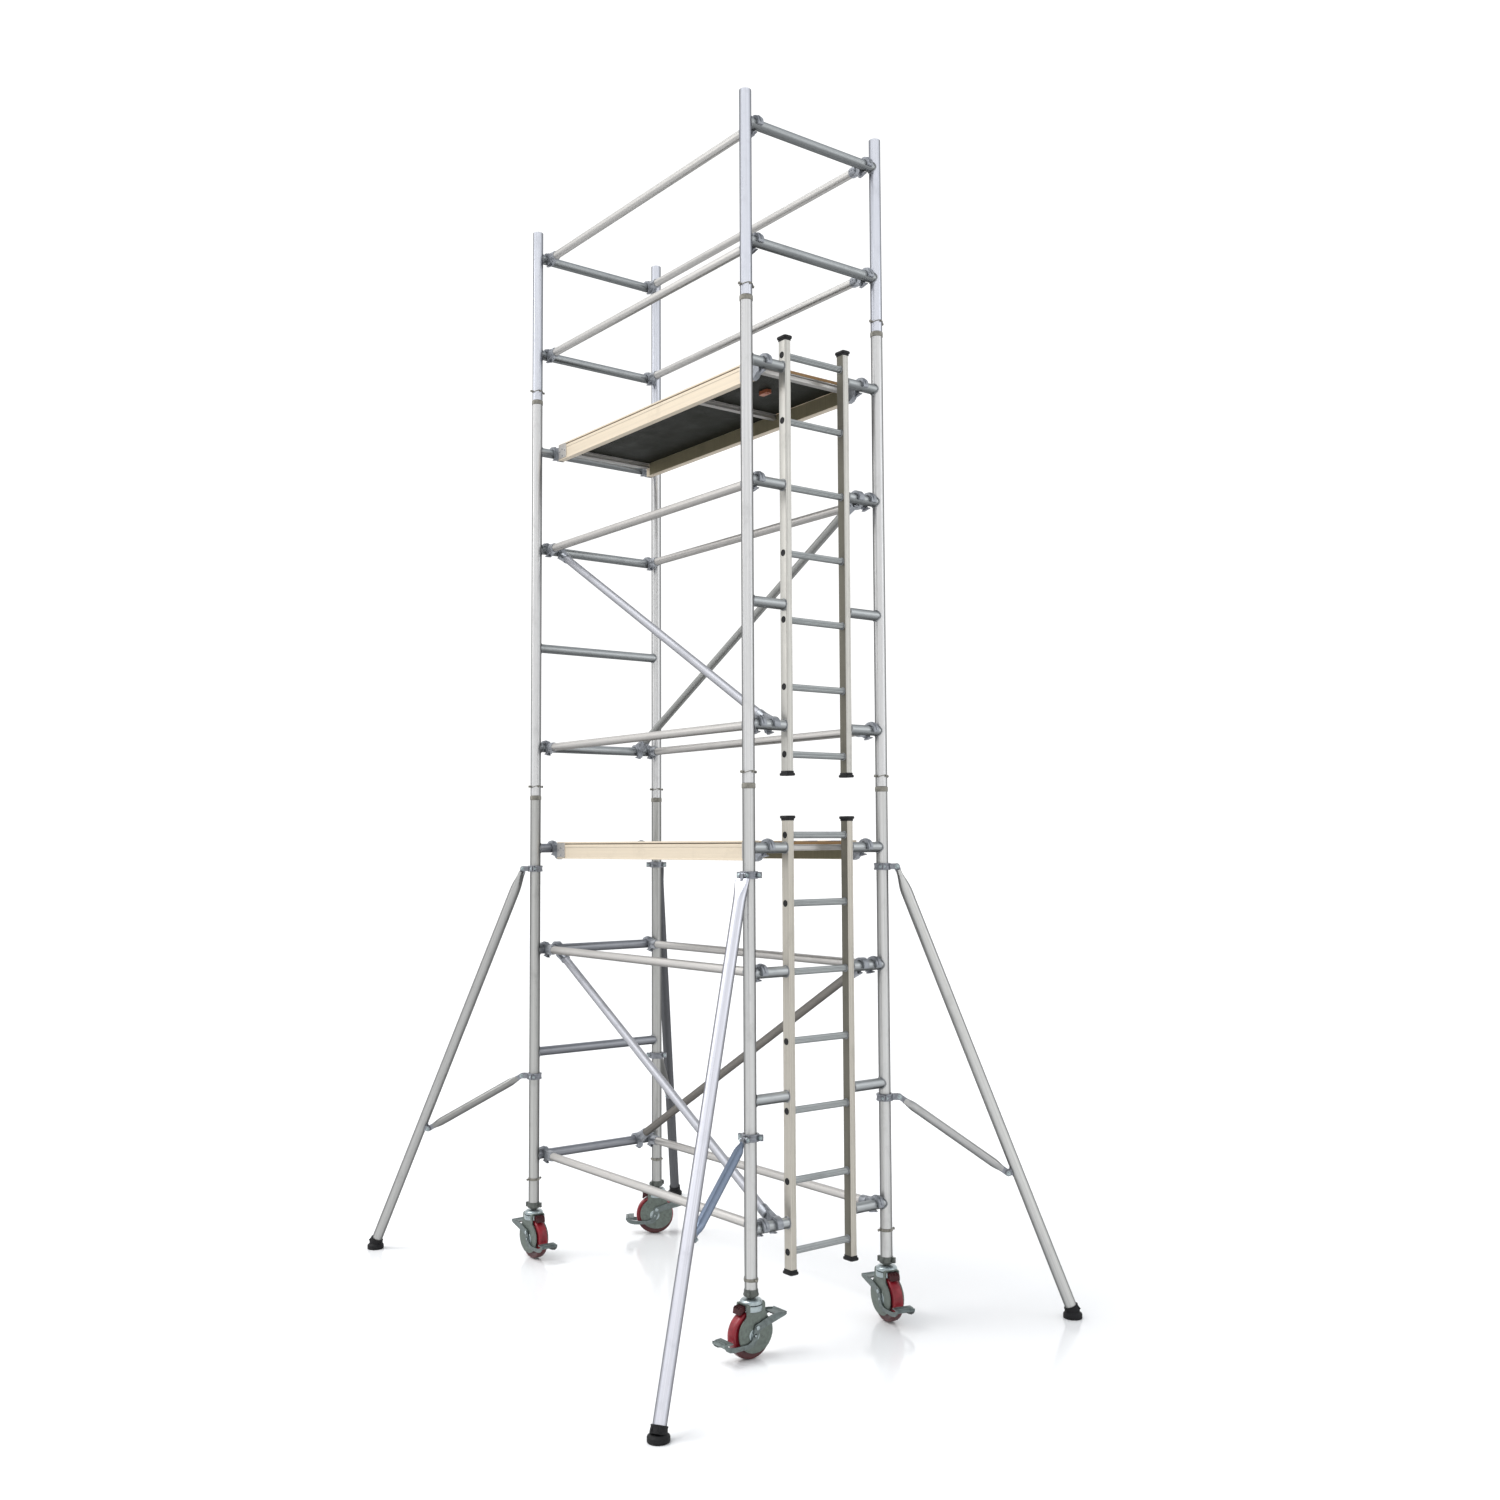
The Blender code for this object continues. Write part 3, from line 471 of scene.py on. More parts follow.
class Shape:
    """Gathers closed parts into one mesh, each with its own grain coordinates."""

    def __init__(self, base=None):
        self.mesh = bmesh.new()
        self.layer = self.mesh.verts.layers.float_vector.new("grain")
        self.base = base or Matrix()
        self.at(Matrix())

    def at(self, place):
        self.place = self.base @ place
        self.shift = Vector([CHANCE.uniform(-4, 4) for _ in range(3)])

    def vert(self, point):
        vert = self.mesh.verts.new(self.place @ Vector(point))
        vert[self.layer] = Vector(point) + self.shift
        return vert

    def loft(self, rings, loop=False):
        """A skin through equal rings, capped at its ends or joined round."""
        rows = [[self.vert(point) for point in points] for points in rings]
        pairs = list(zip(rows, rows[1:]))
        if loop:
            pairs.append((rows[-1], rows[0]))
        for lower, upper in pairs:
            count = len(lower)
            for i in range(count):
                j = (i + 1) % count
                self.mesh.faces.new((lower[i], lower[j], upper[j], upper[i]))
        if not loop:
            self.mesh.faces.new(list(reversed(rows[0])))
            self.mesh.faces.new(rows[-1])

    def lathe(self, profile, count=ROUND, loop=False):
        """Turned about Z through (radius, height) pairs; a zero radius isn't needed."""
        self.loft([ring(radius, count, z) for radius, z in profile], loop)

    def tube(self, start, end, outer, inner, count=ROUND):
        """An open tube with softened lips."""
        place, length = along(start, end)
        self.at(place)
        lip = min(0.0008, (outer - inner) / 3)
        self.lathe([(inner + lip, 0), (outer - lip, 0), (outer, lip), (outer, length - lip),
                    (outer - lip, length), (inner + lip, length), (inner, length - lip),
                    (inner, lip)], count, True)

    def rod(self, start, end, radius, count=FINE):
        place, length = along(start, end)
        self.at(place)
        edge = min(0.0008, radius / 3, length / 3)
        self.lathe([(radius - edge, 0), (radius - edge * 0.3, edge * 0.3), (radius, edge),
                    (radius, length - edge), (radius - edge * 0.3, length - edge * 0.3),
                    (radius - edge, length)], count)

    def dome(self, place, direction, radius, height):
        """A rivet or button head."""
        self.at(towards(direction, place))
        steps = [(radius * math.cos(turn), height * math.sin(turn))
                 for turn in (0, 0.35, 0.7, 1.05, 1.35)]
        self.lathe([(radius, -0.001)] + steps, 16)

    def nut(self, place, direction, radius, height):
        """A hexagon nut with chamfered corners on a round washer, with the bolt's end."""
        matrix = towards(direction, place)
        self.at(matrix)
        self.lathe([(radius * 1.25, 0), (radius * 1.25, 0.0012), (radius * 1.15, 0.0016)], 20)
        self.at(matrix)
        self.lathe([(radius * 0.97, 0.0014), (radius, 0.002), (radius, height - 0.0012),
                    (radius * 0.88, height)], 6)
        self.at(matrix)
        self.lathe([(radius * 0.5, height - 0.001), (radius * 0.5, height + 0.002),
                    (radius * 0.42, height + 0.003)], 12)

    def box(self, low, high, place=None):
        if place is not None:
            self.at(place)
        plan = [(low[0], low[1]), (high[0], low[1]), (high[0], high[1]), (low[0], high[1])]
        self.loft([[(x, y, z) for x, y in plan] for z in (low[2], high[2])])

    def prism(self, outline, low, high, place=None):
        """An outline in the local XY plane, given thickness along Z."""
        if place is not None:
            self.at(place)
        self.loft([[(x, y, z) for x, y in outline] for z in (low, high)])

    def sweep(self, path, radius, count=8, closed=True, ripple=0.0):
        """A round bead along a path; ripple swells it in small steps."""
        points = [Vector(point) for point in path]
        total = len(points)
        rows = []
        for i, point in enumerate(points):
            before = points[(i - 1) % total] if closed or i else point
            after = points[(i + 1) % total] if closed or i < total - 1 else point
            tangent = (after - before).normalized()
            side = tangent.orthogonal().normalized() if not rows else (
                last_side - tangent * last_side.dot(tangent)).normalized()
            last_side = side
            up = tangent.cross(side)
            size = radius * (1 + ripple * math.sin(i * 2.1))
            rows.append([point + side * (size * math.cos(turn)) + up * (size * math.sin(turn))
                         for turn in (2 * math.pi * k / count for k in range(count))])
        self.loft(rows, closed)

    def piece(self, name, material, body, slot, replaces=(), bevel=0.0, segments=2):
        """Finishes the mesh as one named piece that rides on a body."""
        bmesh.ops.recalc_face_normals(self.mesh, faces=self.mesh.faces)
        if bevel:
            edges = [edge for edge in self.mesh.edges
                     if edge.calc_face_angle(0) > math.radians(32)]
            bmesh.ops.bevel(self.mesh, geom=edges, offset=bevel, segments=segments,
                            profile=0.6, affect="EDGES", clamp_overlap=True)
            bmesh.ops.dissolve_degenerate(self.mesh, edges=self.mesh.edges, dist=1e-6)
        data = bpy.data.meshes.new(name)
        self.mesh.to_mesh(data)
        self.mesh.free()
        data.materials.append(material)
        data.shade_smooth()
        data.set_sharp_from_angle(angle=SMOOTH_ANGLE if not bevel else math.radians(50))
        item = bpy.data.objects.new(name, data)
        bpy.context.scene.collection.objects.link(item)
        if bevel:
            item.modifiers.new("even_normals", "WEIGHTED_NORMAL").keep_sharp = True
        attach(item, body)
        if replaces:
            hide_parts(*replaces)
        return item


def shapes(base, count):
    return [Shape(base) for _ in range(count)]


def tower_pieces(label, *rows):
    """Finishes shapes that stand on the tower; a row may end with a bevel."""
    for shape, name, material, slot, *bevel in rows:
        shape.piece(name + "_" + label, material, "tower", slot, (), *bevel)


# ---- end frames ---------------------------------------------------------------------------


def weld_on_post(shape, z, side, post_y, radius):
    """A bead where a level tube meets a round post; side is the way the tube leaves."""
    shape.at(moved(0, post_y, z))
    path = []
    for i in range(48):
        turn = 2 * math.pi * i / 48
        across = radius * math.sin(turn)
        depth = math.sqrt(POST_RADIUS ** 2 - across ** 2)
        path.append((across * 1.06, side * (depth + 0.0012), radius * 1.06 * math.cos(turn)))
    shape.sweep(path, 0.003, 7, True, 0.16)


def weld_on_face(shape, z, side, face_y, radius):
    """A bead where a level tube meets a flat face."""
    shape.at(moved(0, face_y, z))
    path = []
    for i in range(40):
        turn = 2 * math.pi * i / 40
        path.append((radius * 1.05 * math.sin(turn), side * 0.0012,
                     radius * 1.05 * math.cos(turn)))
    shape.sweep(path, 0.0026, 7, True, 0.16)


def rung_height(level):
    """Height of a frame rung, counted from 1 at the bottom of the tower."""
    return FIRST_RUNG + (level - 1) * RUNG_PITCH


def levels(bottom, top):
    heights = [rung_height(level) for level in range(1, 11)]
    return [z for z in heights if bottom < z < top]


POSTS = {"base_left": POST_SHADED, "base_right": POST_ALLOY, "mid_left": POST_PALE,
         "mid_right": POST_PALE, "guard_left": POST_BLUISH, "guard_right": POST_BLUISH}


def frame_posts(label, node, x, bottom, top, spigot):
    base = moved(x, TOWER.y)
    shape = Shape(base)
    for y in (-SIDE_Y, SIDE_Y):
        shape.tube((0, y, bottom), (0, y, top), POST_RADIUS, POST_BORE)
        if spigot:
            shape.tube((0, y, top - SPIGOT_ROOT), (0, y, top + SPIGOT_LENGTH), *SPIGOT)
    shape.piece("posts_" + label, POSTS[label], "tower", "frame_tube", [node])
    fittings = Shape(base)
    for y in (-SIDE_Y, SIDE_Y):
        if spigot:
            fittings.at(moved(0, y, top))
            fittings.lathe(mm((25.8, -22), (27.8, -20.5), (28.2, -16), (28.2, -6), (27.6, -1.5),
                              (25.7, 0)), ROUND)
        if bottom > BASE_BOTTOM + 0.1:
            post_clip(fittings, y, bottom + 0.045)
    return base, fittings


def post_clip(shape, y, z):
    """A sprung locking clip: a wire round the post, its two pin ends and small ears."""
    shape.at(moved(0, y, z))
    shape.sweep([(0.0275 * math.cos(turn), 0.0275 * math.sin(turn),
                  0.004 * math.cos(2 * turn)) for turn in
                 (2 * math.pi * i / 40 for i in range(40))], 0.0018, 8)
    for side in (-1, 1):
        shape.rod((0, y + side * 0.0235, z), (0, y + side * 0.0375, z), 0.0046, 16)
        shape.dome((0, y + side * 0.0372, z), (0, side, 0), 0.0062, 0.0035)
        shape.rod((side * 0.0235, y, z - 0.001), (side * 0.0325, y, z - 0.001), 0.0036, 12)


def plain_frame(label, node, x, bottom, top, spigot=True):
    base, fittings = frame_posts(label, node, x, bottom, top, spigot)
    rungs, welds = shapes(base, 2)
    for z in levels(bottom, top):
        rungs.tube((0, -SIDE_Y, z), (0, SIDE_Y, z), RUNG_RADIUS, RUNG_BORE)
        for side in (-1, 1):
            weld_on_post(welds, z, side, -side * SIDE_Y, RUNG_RADIUS)
    alloy = RUNG_SHADED if label == "base_left" else RUNG_ALLOY
    tower_pieces(label, (rungs, "rungs", alloy, "frame_tube"),
                 (welds, "welds", WELD, "frame_tube"),
                 (fittings, "post_fittings", CLIP, "clamp_steel"))


def rounded_rectangle(half_x, half_y, radius):
    points = []
    for start, sign_x, sign_y in ((0, 1, 1), (90, -1, 1), (180, -1, -1), (270, 1, -1)):
        points += arc(radius, start, start + 90, 4,
                      (sign_x * (half_x - radius), sign_y * (half_y - radius)))
    return points


def stile(shape, y, low, high):
    half_x, half_y = STILE[0] / 2, STILE[1] / 2
    shape.at(moved(y=y))
    outer = rounded_rectangle(half_x, half_y, 0.004)
    inner = rounded_rectangle(half_x - STILE_WALL, half_y - STILE_WALL, 0.002)
    rings = [[(px, py, z) for px, py in outline] for outline, z in
             ((outer, low), (outer, high), (inner, high), (inner, low))]
    shape.loft(rings, True)
    for side in (-1, 1):
        for rib in (-0.006, 0.006):
            shape.box((side * half_x - 0.0005, rib - 0.0012, low + 0.002),
                      (side * half_x + 0.0007, rib + 0.0012, high - 0.002),
                      moved(y=y))


def stile_cap(shape, y, z, way):
    """A black end cap, wider than the stile."""
    half_x, half_y = STILE[0] / 2, STILE[1] / 2
    shape.at(moved(0, y, z) @ Matrix.Scale(way, 4, (0, 0, 1)))
    steps = ((0.0012, -0.009, 0.005), (0.002, -0.008, 0.005), (0.0024, -0.001, 0.005),
             (0.0062, 0.0005, 0.008), (0.0068, 0.008, 0.008), (0.0045, 0.0112, 0.008))
    shape.loft([[(px, py, height) for px, py in
                 rounded_rectangle(half_x + grow, half_y + grow, corner)]
                for grow, height, corner in steps])


def fluted_rung(shape, z):
    """A ladder rung with shallow flutes that give the foot some grip."""
    shape.at(moved(z=z) @ turned(-90, "X"))
    count = 72
    outline = []
    for i in range(count):
        turn = 2 * math.pi * i / count
        radius = STEP_RADIUS + 0.0006 * math.cos(18 * turn)
        outline.append((radius * math.cos(turn), radius * math.sin(turn)))
    reach = STILE_Y - 0.004
    shape.prism(outline, -reach, reach)


def ladder_frame(label, node, x, bottom, top):
    base, fittings = frame_posts(label, node, x, bottom, top, True)
    low, high = bottom + 0.045, top - 0.14
    stiles, stubs, steps, welds, caps, plugs, shade_sheets_on_stiles = shapes(base, 7)
    face = STILE_Y + STILE[1] / 2
    for side in (-1, 1):
        stile(stiles, side * STILE_Y, low, high)
        inside = side * (STILE_Y - STILE[1] / 2)
        # A thin dark sheet on each stile's inner face: painted shade.
        shade_sheets_on_stiles.box((-STILE[0] / 2 + 0.0035, min(inside, inside - side * 0.0008), low + 0.002),
                 (STILE[0] / 2 - 0.0035, max(inside, inside - side * 0.0008), high - 0.002),
                 Matrix())
        stile_cap(caps, side * STILE_Y, high, 1)
        stile_cap(caps, side * STILE_Y, low, -1)
        for z in levels(bottom, top):
            stubs.tube((0, side * SIDE_Y, z), (0, side * (face - 0.001), z), RUNG_RADIUS, RUNG_BORE)
            weld_on_post(welds, z, -side, side * SIDE_Y, RUNG_RADIUS)
            weld_on_face(welds, z, side, side * face, RUNG_RADIUS)
    for step in range(STEP_COUNT):
        z = bottom + FIRST_STEP + step * STEP_PITCH
        fluted_rung(steps, z)
        for side in (-1, 1):
            weld_on_face(welds, z, -side, side * (STILE_Y - STILE[1] / 2), 0.014)
            if min(abs(z - level) for level in levels(bottom, top)) > 0.04:
                plugs.at(towards((0, side, 0), (0, side * face, z)))
                plugs.lathe(mm((14, -2), (14, 0.8), (12.5, 2), (9.5, 2), (8.5, 1), (4, 1)), 28)
    alloy = STILE_BEIGE if label == "base_right" else STILE_PALE
    tower_pieces(label, (stiles, "stiles", alloy, "frame_tube"),
                 (shade_sheets_on_stiles, "stile_webs", STILE_SHADE_ALLOY, "frame_tube"),
                 (stubs, "rungs", RUNG_ALLOY, "frame_tube"),
                 (steps, "ladder_rungs", STEP_ALLOY, "frame_tube"),
                 (welds, "welds", WELD, "frame_tube"),
                 (caps, "stile_caps", BLACK, "foot_rubber"),
                 (plugs, "rung_plugs", BLACK, "clamp_steel"),
                 (fittings, "post_fittings", CLIP, "clamp_steel"))


plain_frame("base_left", "base_frame_left", LEFT_X, BASE_BOTTOM, BASE_TOP)
plain_frame("mid_left", "mid_frame_left", LEFT_X, BASE_TOP + JOINT_GAP, MID_TOP)
plain_frame("guard_left", "guard_frame_left", LEFT_X, MID_TOP + JOINT_GAP, GUARD_TOP, False)
plain_frame("guard_right", "guard_frame_right", RIGHT_X, MID_TOP + JOINT_GAP, GUARD_TOP, False)
ladder_frame("base_right", "base_ladder_frame_right", RIGHT_X, BASE_BOTTOM, BASE_TOP)
ladder_frame("mid_right", "mid_ladder_frame_right", RIGHT_X, BASE_TOP + JOINT_GAP, MID_TOP)

# ---- braces -------------------------------------------------------------------------------
HOOK_RADIUS = 0.0355
HOOK_BORE = 0.0236
LIP = -0.0095                # how far past the rung's axis the hook reaches down
TUBE_START = 0.058           # from the rung's axis to the brace's own tube
CLAW_HALF = 0.0145
TRIGGER = mm((30, -30), (24, -24.5), (12, -25), (-2, -28.5), (-4, -32), (10, -34.5))
SHORT_TAIL = [(0.03, -0.039), (0.036, -0.035)]
LONG_TAIL = mm((26, -38.5), (40, -40), (44, -36), (36, -32.5))


def hook(start):
    """An open ring round a rung, seen from the side: the rung's axis is the origin."""
    points = []
    for radius, first, last, count in ((HOOK_RADIUS, start, None, 22), (HOOK_BORE, None, 0, 20)):
        lip = math.degrees(math.acos(LIP / radius)) + 90
        points += arc(radius, lip if first is None else first, lip if last is None else last,
                      count)
    return points + [(HOOK_BORE, -0.026), (0.0265, -0.031)]


def hook_rib(shape, upright):
    rib = arc(HOOK_RADIUS + 0.003, 60, 178, 16) + arc(HOOK_RADIUS - 0.004, 178, 60, 16)
    shape.prism(rib, -0.0035, 0.0035, upright)


def sideways_dome(shape, place, spot, radius, height):
    """A rivet head at a spot in the place's own frame, facing the side that it is on."""
    way = math.copysign(1, spot[1])
    shape.dome(place @ Vector(spot), place.to_3x3() @ Vector((0, way, 0)), radius, height)


def claw(shape, fittings, place):
    """A cast claw with a rib, its riveted socket and the sprung trigger under the rung."""
    upright = place @ UPRIGHT_XZ
    neck = mm((34, -32.5), (42, -27.5), (56, -21.5), (64, -21), (64, 21), (50, 21.5), (38, 21.8))
    shape.prism(hook(38) + neck, -CLAW_HALF, CLAW_HALF, upright)
    hook_rib(shape, upright)
    shape.at(place @ moved(0.05) @ QUARTER_Y)
    shape.lathe(mm((19.5, 0), (23.2, 3), (23.8, 8), (23.8, 34), (22.6, 39.5), (19.6, 41)), 32)
    fittings.prism(TRIGGER + LONG_TAIL, -0.0055, 0.0055, upright)
    for way in (-1, 1):
        sideways_dome(fittings, place, (0.03, way * CLAW_HALF, -0.0255), 0.0045, 0.0022)
        for spot in (0.066, 0.08):
            sideways_dome(fittings, place, (spot, way * 0.0236, 0), 0.004, 0.002)


def diagonal_claw(shape, fittings, place, socket):
    """A level claw whose gusset turns to the brace's slope."""
    upright = place @ UPRIGHT_XZ
    neck = mm((34.5, -33), (40, -20), (40, 10))
    shape.prism(hook(30) + neck, -CLAW_HALF, CLAW_HALF, upright)
    gusset = mm((26, -25), (48, -23.5), (76, -20.5), (76, 20.5), (48, 23.5), (24, 27))
    shape.prism(gusset, -0.0125, 0.0125, socket @ UPRIGHT_XZ)
    shape.at(socket @ moved(TUBE_START) @ QUARTER_Y)
    shape.lathe(mm((19.5, 0), (22.8, 3), (23.6, 8), (23.6, 40), (22.4, 45.5), (19.6, 47)), 32)
    fittings.prism(TRIGGER + SHORT_TAIL, -0.0055, 0.0055, upright)
    for way in (-1, 1):
        for spot in (0.072, 0.09):
            sideways_dome(fittings, socket, (spot, way * 0.0234, 0), 0.004, 0.002)
        sideways_dome(fittings, place, (0.03, way * CLAW_HALF, -0.0255), 0.0045, 0.0022)


def claw_on_beam(shape, fittings, place):
    """A claw whose neck runs back into the beam's end."""
    upright = place @ UPRIGHT_XZ
    neck = mm((40, -34), (56, -50), (78, -56), (78, 16.5), (50, 18.5), (34, 19))
    shape.prism(hook(35) + neck, -0.0135, 0.0135, upright)
    hook_rib(shape, upright)
    fittings.prism(TRIGGER + SHORT_TAIL, -0.0055, 0.0055, upright)


def brace(name, y, start_z, rise, alloy):
    """A tube between two claws across the tower; rise is how much higher its +X end is."""
    base = moved(TOWER.x, y, start_z)
    start, end = Vector((-END_X, 0, 0)), Vector((END_X, 0, rise))
    lean = math.atan2(rise, 2 * END_X)
    way = (end - start).normalized()
    tube, claws, fittings = shapes(base, 3)
    tube.tube(start + way * TUBE_START, end - way * TUBE_START, BRACE_RADIUS, BRACE_BORE)
    left = Matrix.Translation(start)
    right = Matrix.Translation(end) @ turned(180, "Z")
    for place, turn in ((left, lean), (right, -lean)):
        if rise:
            diagonal_claw(claws, fittings, place, place @ Matrix.Rotation(-turn, 4, "Y"))
        else:
            claw(claws, fittings, place)
    tube.piece(name + "_tube", alloy, "tower", "brace_tube", [name])
    claws.piece(name + "_claws", CLAW, "tower", "brace_tube", (), 0.0012)
    fittings.piece(name + "_fittings", STEEL, "tower", "clamp_steel")


RAIL_LEVELS = {"rail_1": 1, "rail_2": 3, "rail_3": 5, "rail_4": 7, "guard_rail_low": 9,
               "guard_rail_high": 10}
for label, level in RAIL_LEVELS.items():
    alloy = GUARD_ALLOY if level > 8 else RAIL_ALLOY
    brace(label + "_front", TOWER.y - RAIL_Y, rung_height(level), 0.0, alloy)
    brace(label + "_back", TOWER.y + RAIL_Y, rung_height(level), 0.0, alloy)
for label, level in (("low", 1), ("high", 5)):
    z = rung_height(level)
    climb = 2 * RUNG_PITCH
    brace("diagonal_back_" + label, TOWER.y + DIAGONAL_Y, z, climb,
          BRACE_SHADED if label == "low" else BRACE_PALE)
    brace("diagonal_front_" + label, TOWER.y - DIAGONAL_Y, z + climb, -climb, BRACE_BLUISH)

# ---- platforms ----------------------------------------------------------------------------


def beam_outline(outward):
    """Section of a side beam in (across, height); outward is the side away from the deck."""
    face, inner = 0.015, -0.015
    points = [(inner, -0.058), (inner, -0.062), (face, -0.062), (face, -0.0565),
              (face - 0.0015, -0.055), (face - 0.0015, -0.008), (face, -0.006), (face, 0.0065),
              (face - 0.0035, 0.0075), (face - 0.0035, 0.0115), (face, 0.0125), (face, 0.0185),
              (face - 0.0015, 0.02), (inner + 0.0015, 0.02), (inner, 0.0185)]
    return [(outward * across, height) for across, height in points]


def beam_with_claws(side, beams, groove_shade_strips, claws, fittings, corners):
    """One side beam, the claw in each of its ends and the riveted plates over them."""
    y = side * BEAM_Y
    lengthways = turned(90, "Z") @ turned(90, "X")
    beams.prism(beam_outline(side), -BEAM_END, BEAM_END, moved(y=y) @ lengthways)
    # A dark strip in the groove's floor: painted shade in the groove.
    groove_shade_strips.box((-BEAM_END + 0.002, y + side * 0.011, 0.0072),
                (BEAM_END - 0.002, y + side * 0.012, 0.0118), Matrix())
    for way in (-1, 1):
        turn = turned(180 if way > 0 else 0, "Z")
        claw_on_beam(claws, fittings, moved(way * END_X, y, -DECK_LIFT) @ turn)
        plate_x, plate_z = way * (BEAM_END - 0.04), -0.02
        corners.prism(rounded_rectangle(0.036, 0.036, 0.006), -0.0014, 0.0016,
                      moved(plate_x, y + side * 0.0152, plate_z) @ UPRIGHT_XZ)
        for px, pz in ((-0.024, 0.0), (0.024, 0.0), (0.0, -0.024), (0.0, 0.01)):
            fittings.dome((plate_x + px, y + side * 0.0166, plate_z + pz), (0, side, 0),
                          0.0045, 0.0022)


def cross_section():
    """An I-shaped cross member, seen from its end."""
    right = mm((15, -22), (15, -19.5), (4, -18.5), (4, -2), (15, -0.5), (15, 2.5))
    return [(-0.015, -0.022)] + right + [(-x, z) for x, z in reversed(right[1:])]


def platform(label, node, deck_node, trap_node, body, z):
    base = moved(TOWER.x, TOWER.y, z + DECK_LIFT)
    beams, groove_shade_strips, crosses, claws, fittings, corners = shapes(base, 6)
    for side in (-1, 1):
        beam_with_claws(side, beams, groove_shade_strips, claws, fittings, corners)
    beam_shade_sheets, middle_cross = shapes(base, 2)
    # A thin dark sheet on each beam's inner face: painted shade under the deck.
    for side in (-1, 1):
        y = side * (BEAM_Y - 0.0155)
        beam_shade_sheets.box((-BEAM_END + 0.031, y - 0.0007, -0.06), (BEAM_END - 0.031, y + 0.0007, 0.0025),
                   Matrix())
    inner = BEAM_Y - 0.0148
    for x in (-BEAM_END + 0.015, MIDDLE_CROSS_X, BEAM_END - 0.015):
        target = middle_cross if x == MIDDLE_CROSS_X else crosses
        target.prism(cross_section(), -inner, inner, moved(x) @ UPRIGHT_XZ)
    beams.piece("beams_" + label, BEAM_ALLOY, "tower", "platform_beam", [node], 0.0006)
    tower_pieces(label, (groove_shade_strips, "beam_grooves", GROOVE_SHADE_ALLOY, "platform_beam"),
                 (crosses, "end_members", RAIL_ALLOY, "platform_beam", 0.0006),
                 (middle_cross, "middle_member", RAIL_ALLOY, "platform_beam", 0.0006),
                 (beam_shade_sheets, "beam_liners", BEAM_SHADE_ALLOY, "platform_beam"),
                 (corners, "claw_plates", RAIL_ALLOY, "platform_beam", 0.0006),
                 (claws, "platform_claws", CLAW, "platform_beam", 0.0012))
    deck_board(label, deck_node, base, fittings)
    fittings.piece("platform_fittings_" + label, STEEL, "tower", "clamp_steel")
    trapdoor(label, trap_node, body, base)


def deck_board(label, node, base, fittings):
    board = Shape(base)
    board.box((-BEAM_END + 0.0008, -BOARD_HALF, 0.0032), (MIDDLE_CROSS_X, BOARD_HALF, 0.016),
              Matrix())
    board.piece("board_" + label, FILM, "tower", "deck_board", [node], 0.0008)
    for x in [-0.77 + 0.115 * i for i in range(10)]:
        for side in (-1, 1):
            fittings.dome((x, side * (BOARD_HALF - 0.014), 0.016), (0, 0, 1), 0.005, 0.0022)


def trapdoor(label, node, body, base):
    """The hinged part of the deck, with its finger hole, hinges and turn latch."""
    low_x, high_x = MIDDLE_CROSS_X + 0.003, BEAM_END
    lid = Shape(base)
    hole = (low_x + 0.075, -0.175)
    lid_mesh(lid, (low_x, -BOARD_HALF), (high_x, 0.244), hole, 0.019)
    lid.piece("lid_" + label, FILM, body, "deck_board", [node], 0.0008)
    trim, latch = shapes(base, 2)
    trim.at(moved(hole[0], hole[1], 0.0035))
    trim.lathe(mm((17, 0), (19.2, 0), (19.2, 12.5), (24.5, 12.5), (24, 14), (20, 14.4),
                  (17.2, 13.4)), 36, True)
    for x in (low_x + 0.1, (low_x + high_x) / 2, high_x - 0.1):
        trim.rod((x - 0.03, 0.2465, 0.0165), (x + 0.03, 0.2465, 0.0165), 0.003, 16)
        trim.box((x - 0.028, 0.214, 0.0158), (x + 0.028, 0.2455, 0.0174), Matrix())
        for px in (-0.017, 0.017):
            trim.dome((x + px, 0.226, 0.0172), (0, 0, 1), 0.0034, 0.0014)
    trim.piece("lid_hardware_" + label, STEEL, body, "clamp_steel", (), 0.0)
    latch_place = moved(high_x - 0.25, -0.01)
    outline = rounded_rectangle(0.03, 0.015, 0.007)
    latch.prism(outline, -0.0135, 0.0026, latch_place)
    latch.at(latch_place @ moved(0.012, 0, -0.0165))
    latch.lathe(mm((8.5, 0), (9.8, 1.2), (9.8, 6)), 24)
    latch.piece("lid_latch_" + label, LATCH, body, "deck_board", (), 0.0012)


def lid_mesh(shape, low, high, hole, radius):
    """A board with a round hole: square-to-round rings above and below, joined through."""
    count = 48
    shape.at(Matrix())
    edge, rim = [], []
    for i in range(count):
        turn = 2 * math.pi * (i + 0.5) / count
        across, up = math.cos(turn), math.sin(turn)
        reach_x = (high[0] - hole[0] if across > 0 else hole[0] - low[0]) / max(abs(across), 1e-9)
        reach_y = (high[1] - hole[1] if up > 0 else hole[1] - low[1]) / max(abs(up), 1e-9)
        reach = min(reach_x, reach_y)
        edge.append((hole[0] + across * reach, hole[1] + up * reach))
        rim.append((hole[0] + across * radius, hole[1] + up * radius))
    for corner in ((low[0], low[1]), (high[0], low[1]), (high[0], high[1]), (low[0], high[1])):
        nearest = min(range(count), key=lambda k: (Vector(edge[k]) - Vector(corner)).length)
        edge[nearest] = corner
    rings = [[(x, y, z) for x, y in points] for points, z in
             ((edge, 0.0032), (edge, 0.016), (rim, 0.016), (rim, 0.0032))]
    shape.loft(rings, True)


platform("low", "platform_frame_low", "deck_low", "trapdoor_low", "trapdoor_low",
         rung_height(4))
platform("high", "platform_frame_high", "deck_high", "trapdoor_high", "trapdoor_high",
         rung_height(8))

# ---- castors ------------------------------------------------------------------------------
CHEEK_RADIUS = 0.076
CHEEK_CENTRE = (0.004, 0.103)
CROWN_BACK = -0.046
FORK_HALF = 0.0345           # half of the fork's width
FORK_SHEET = 0.0048          # its thickness


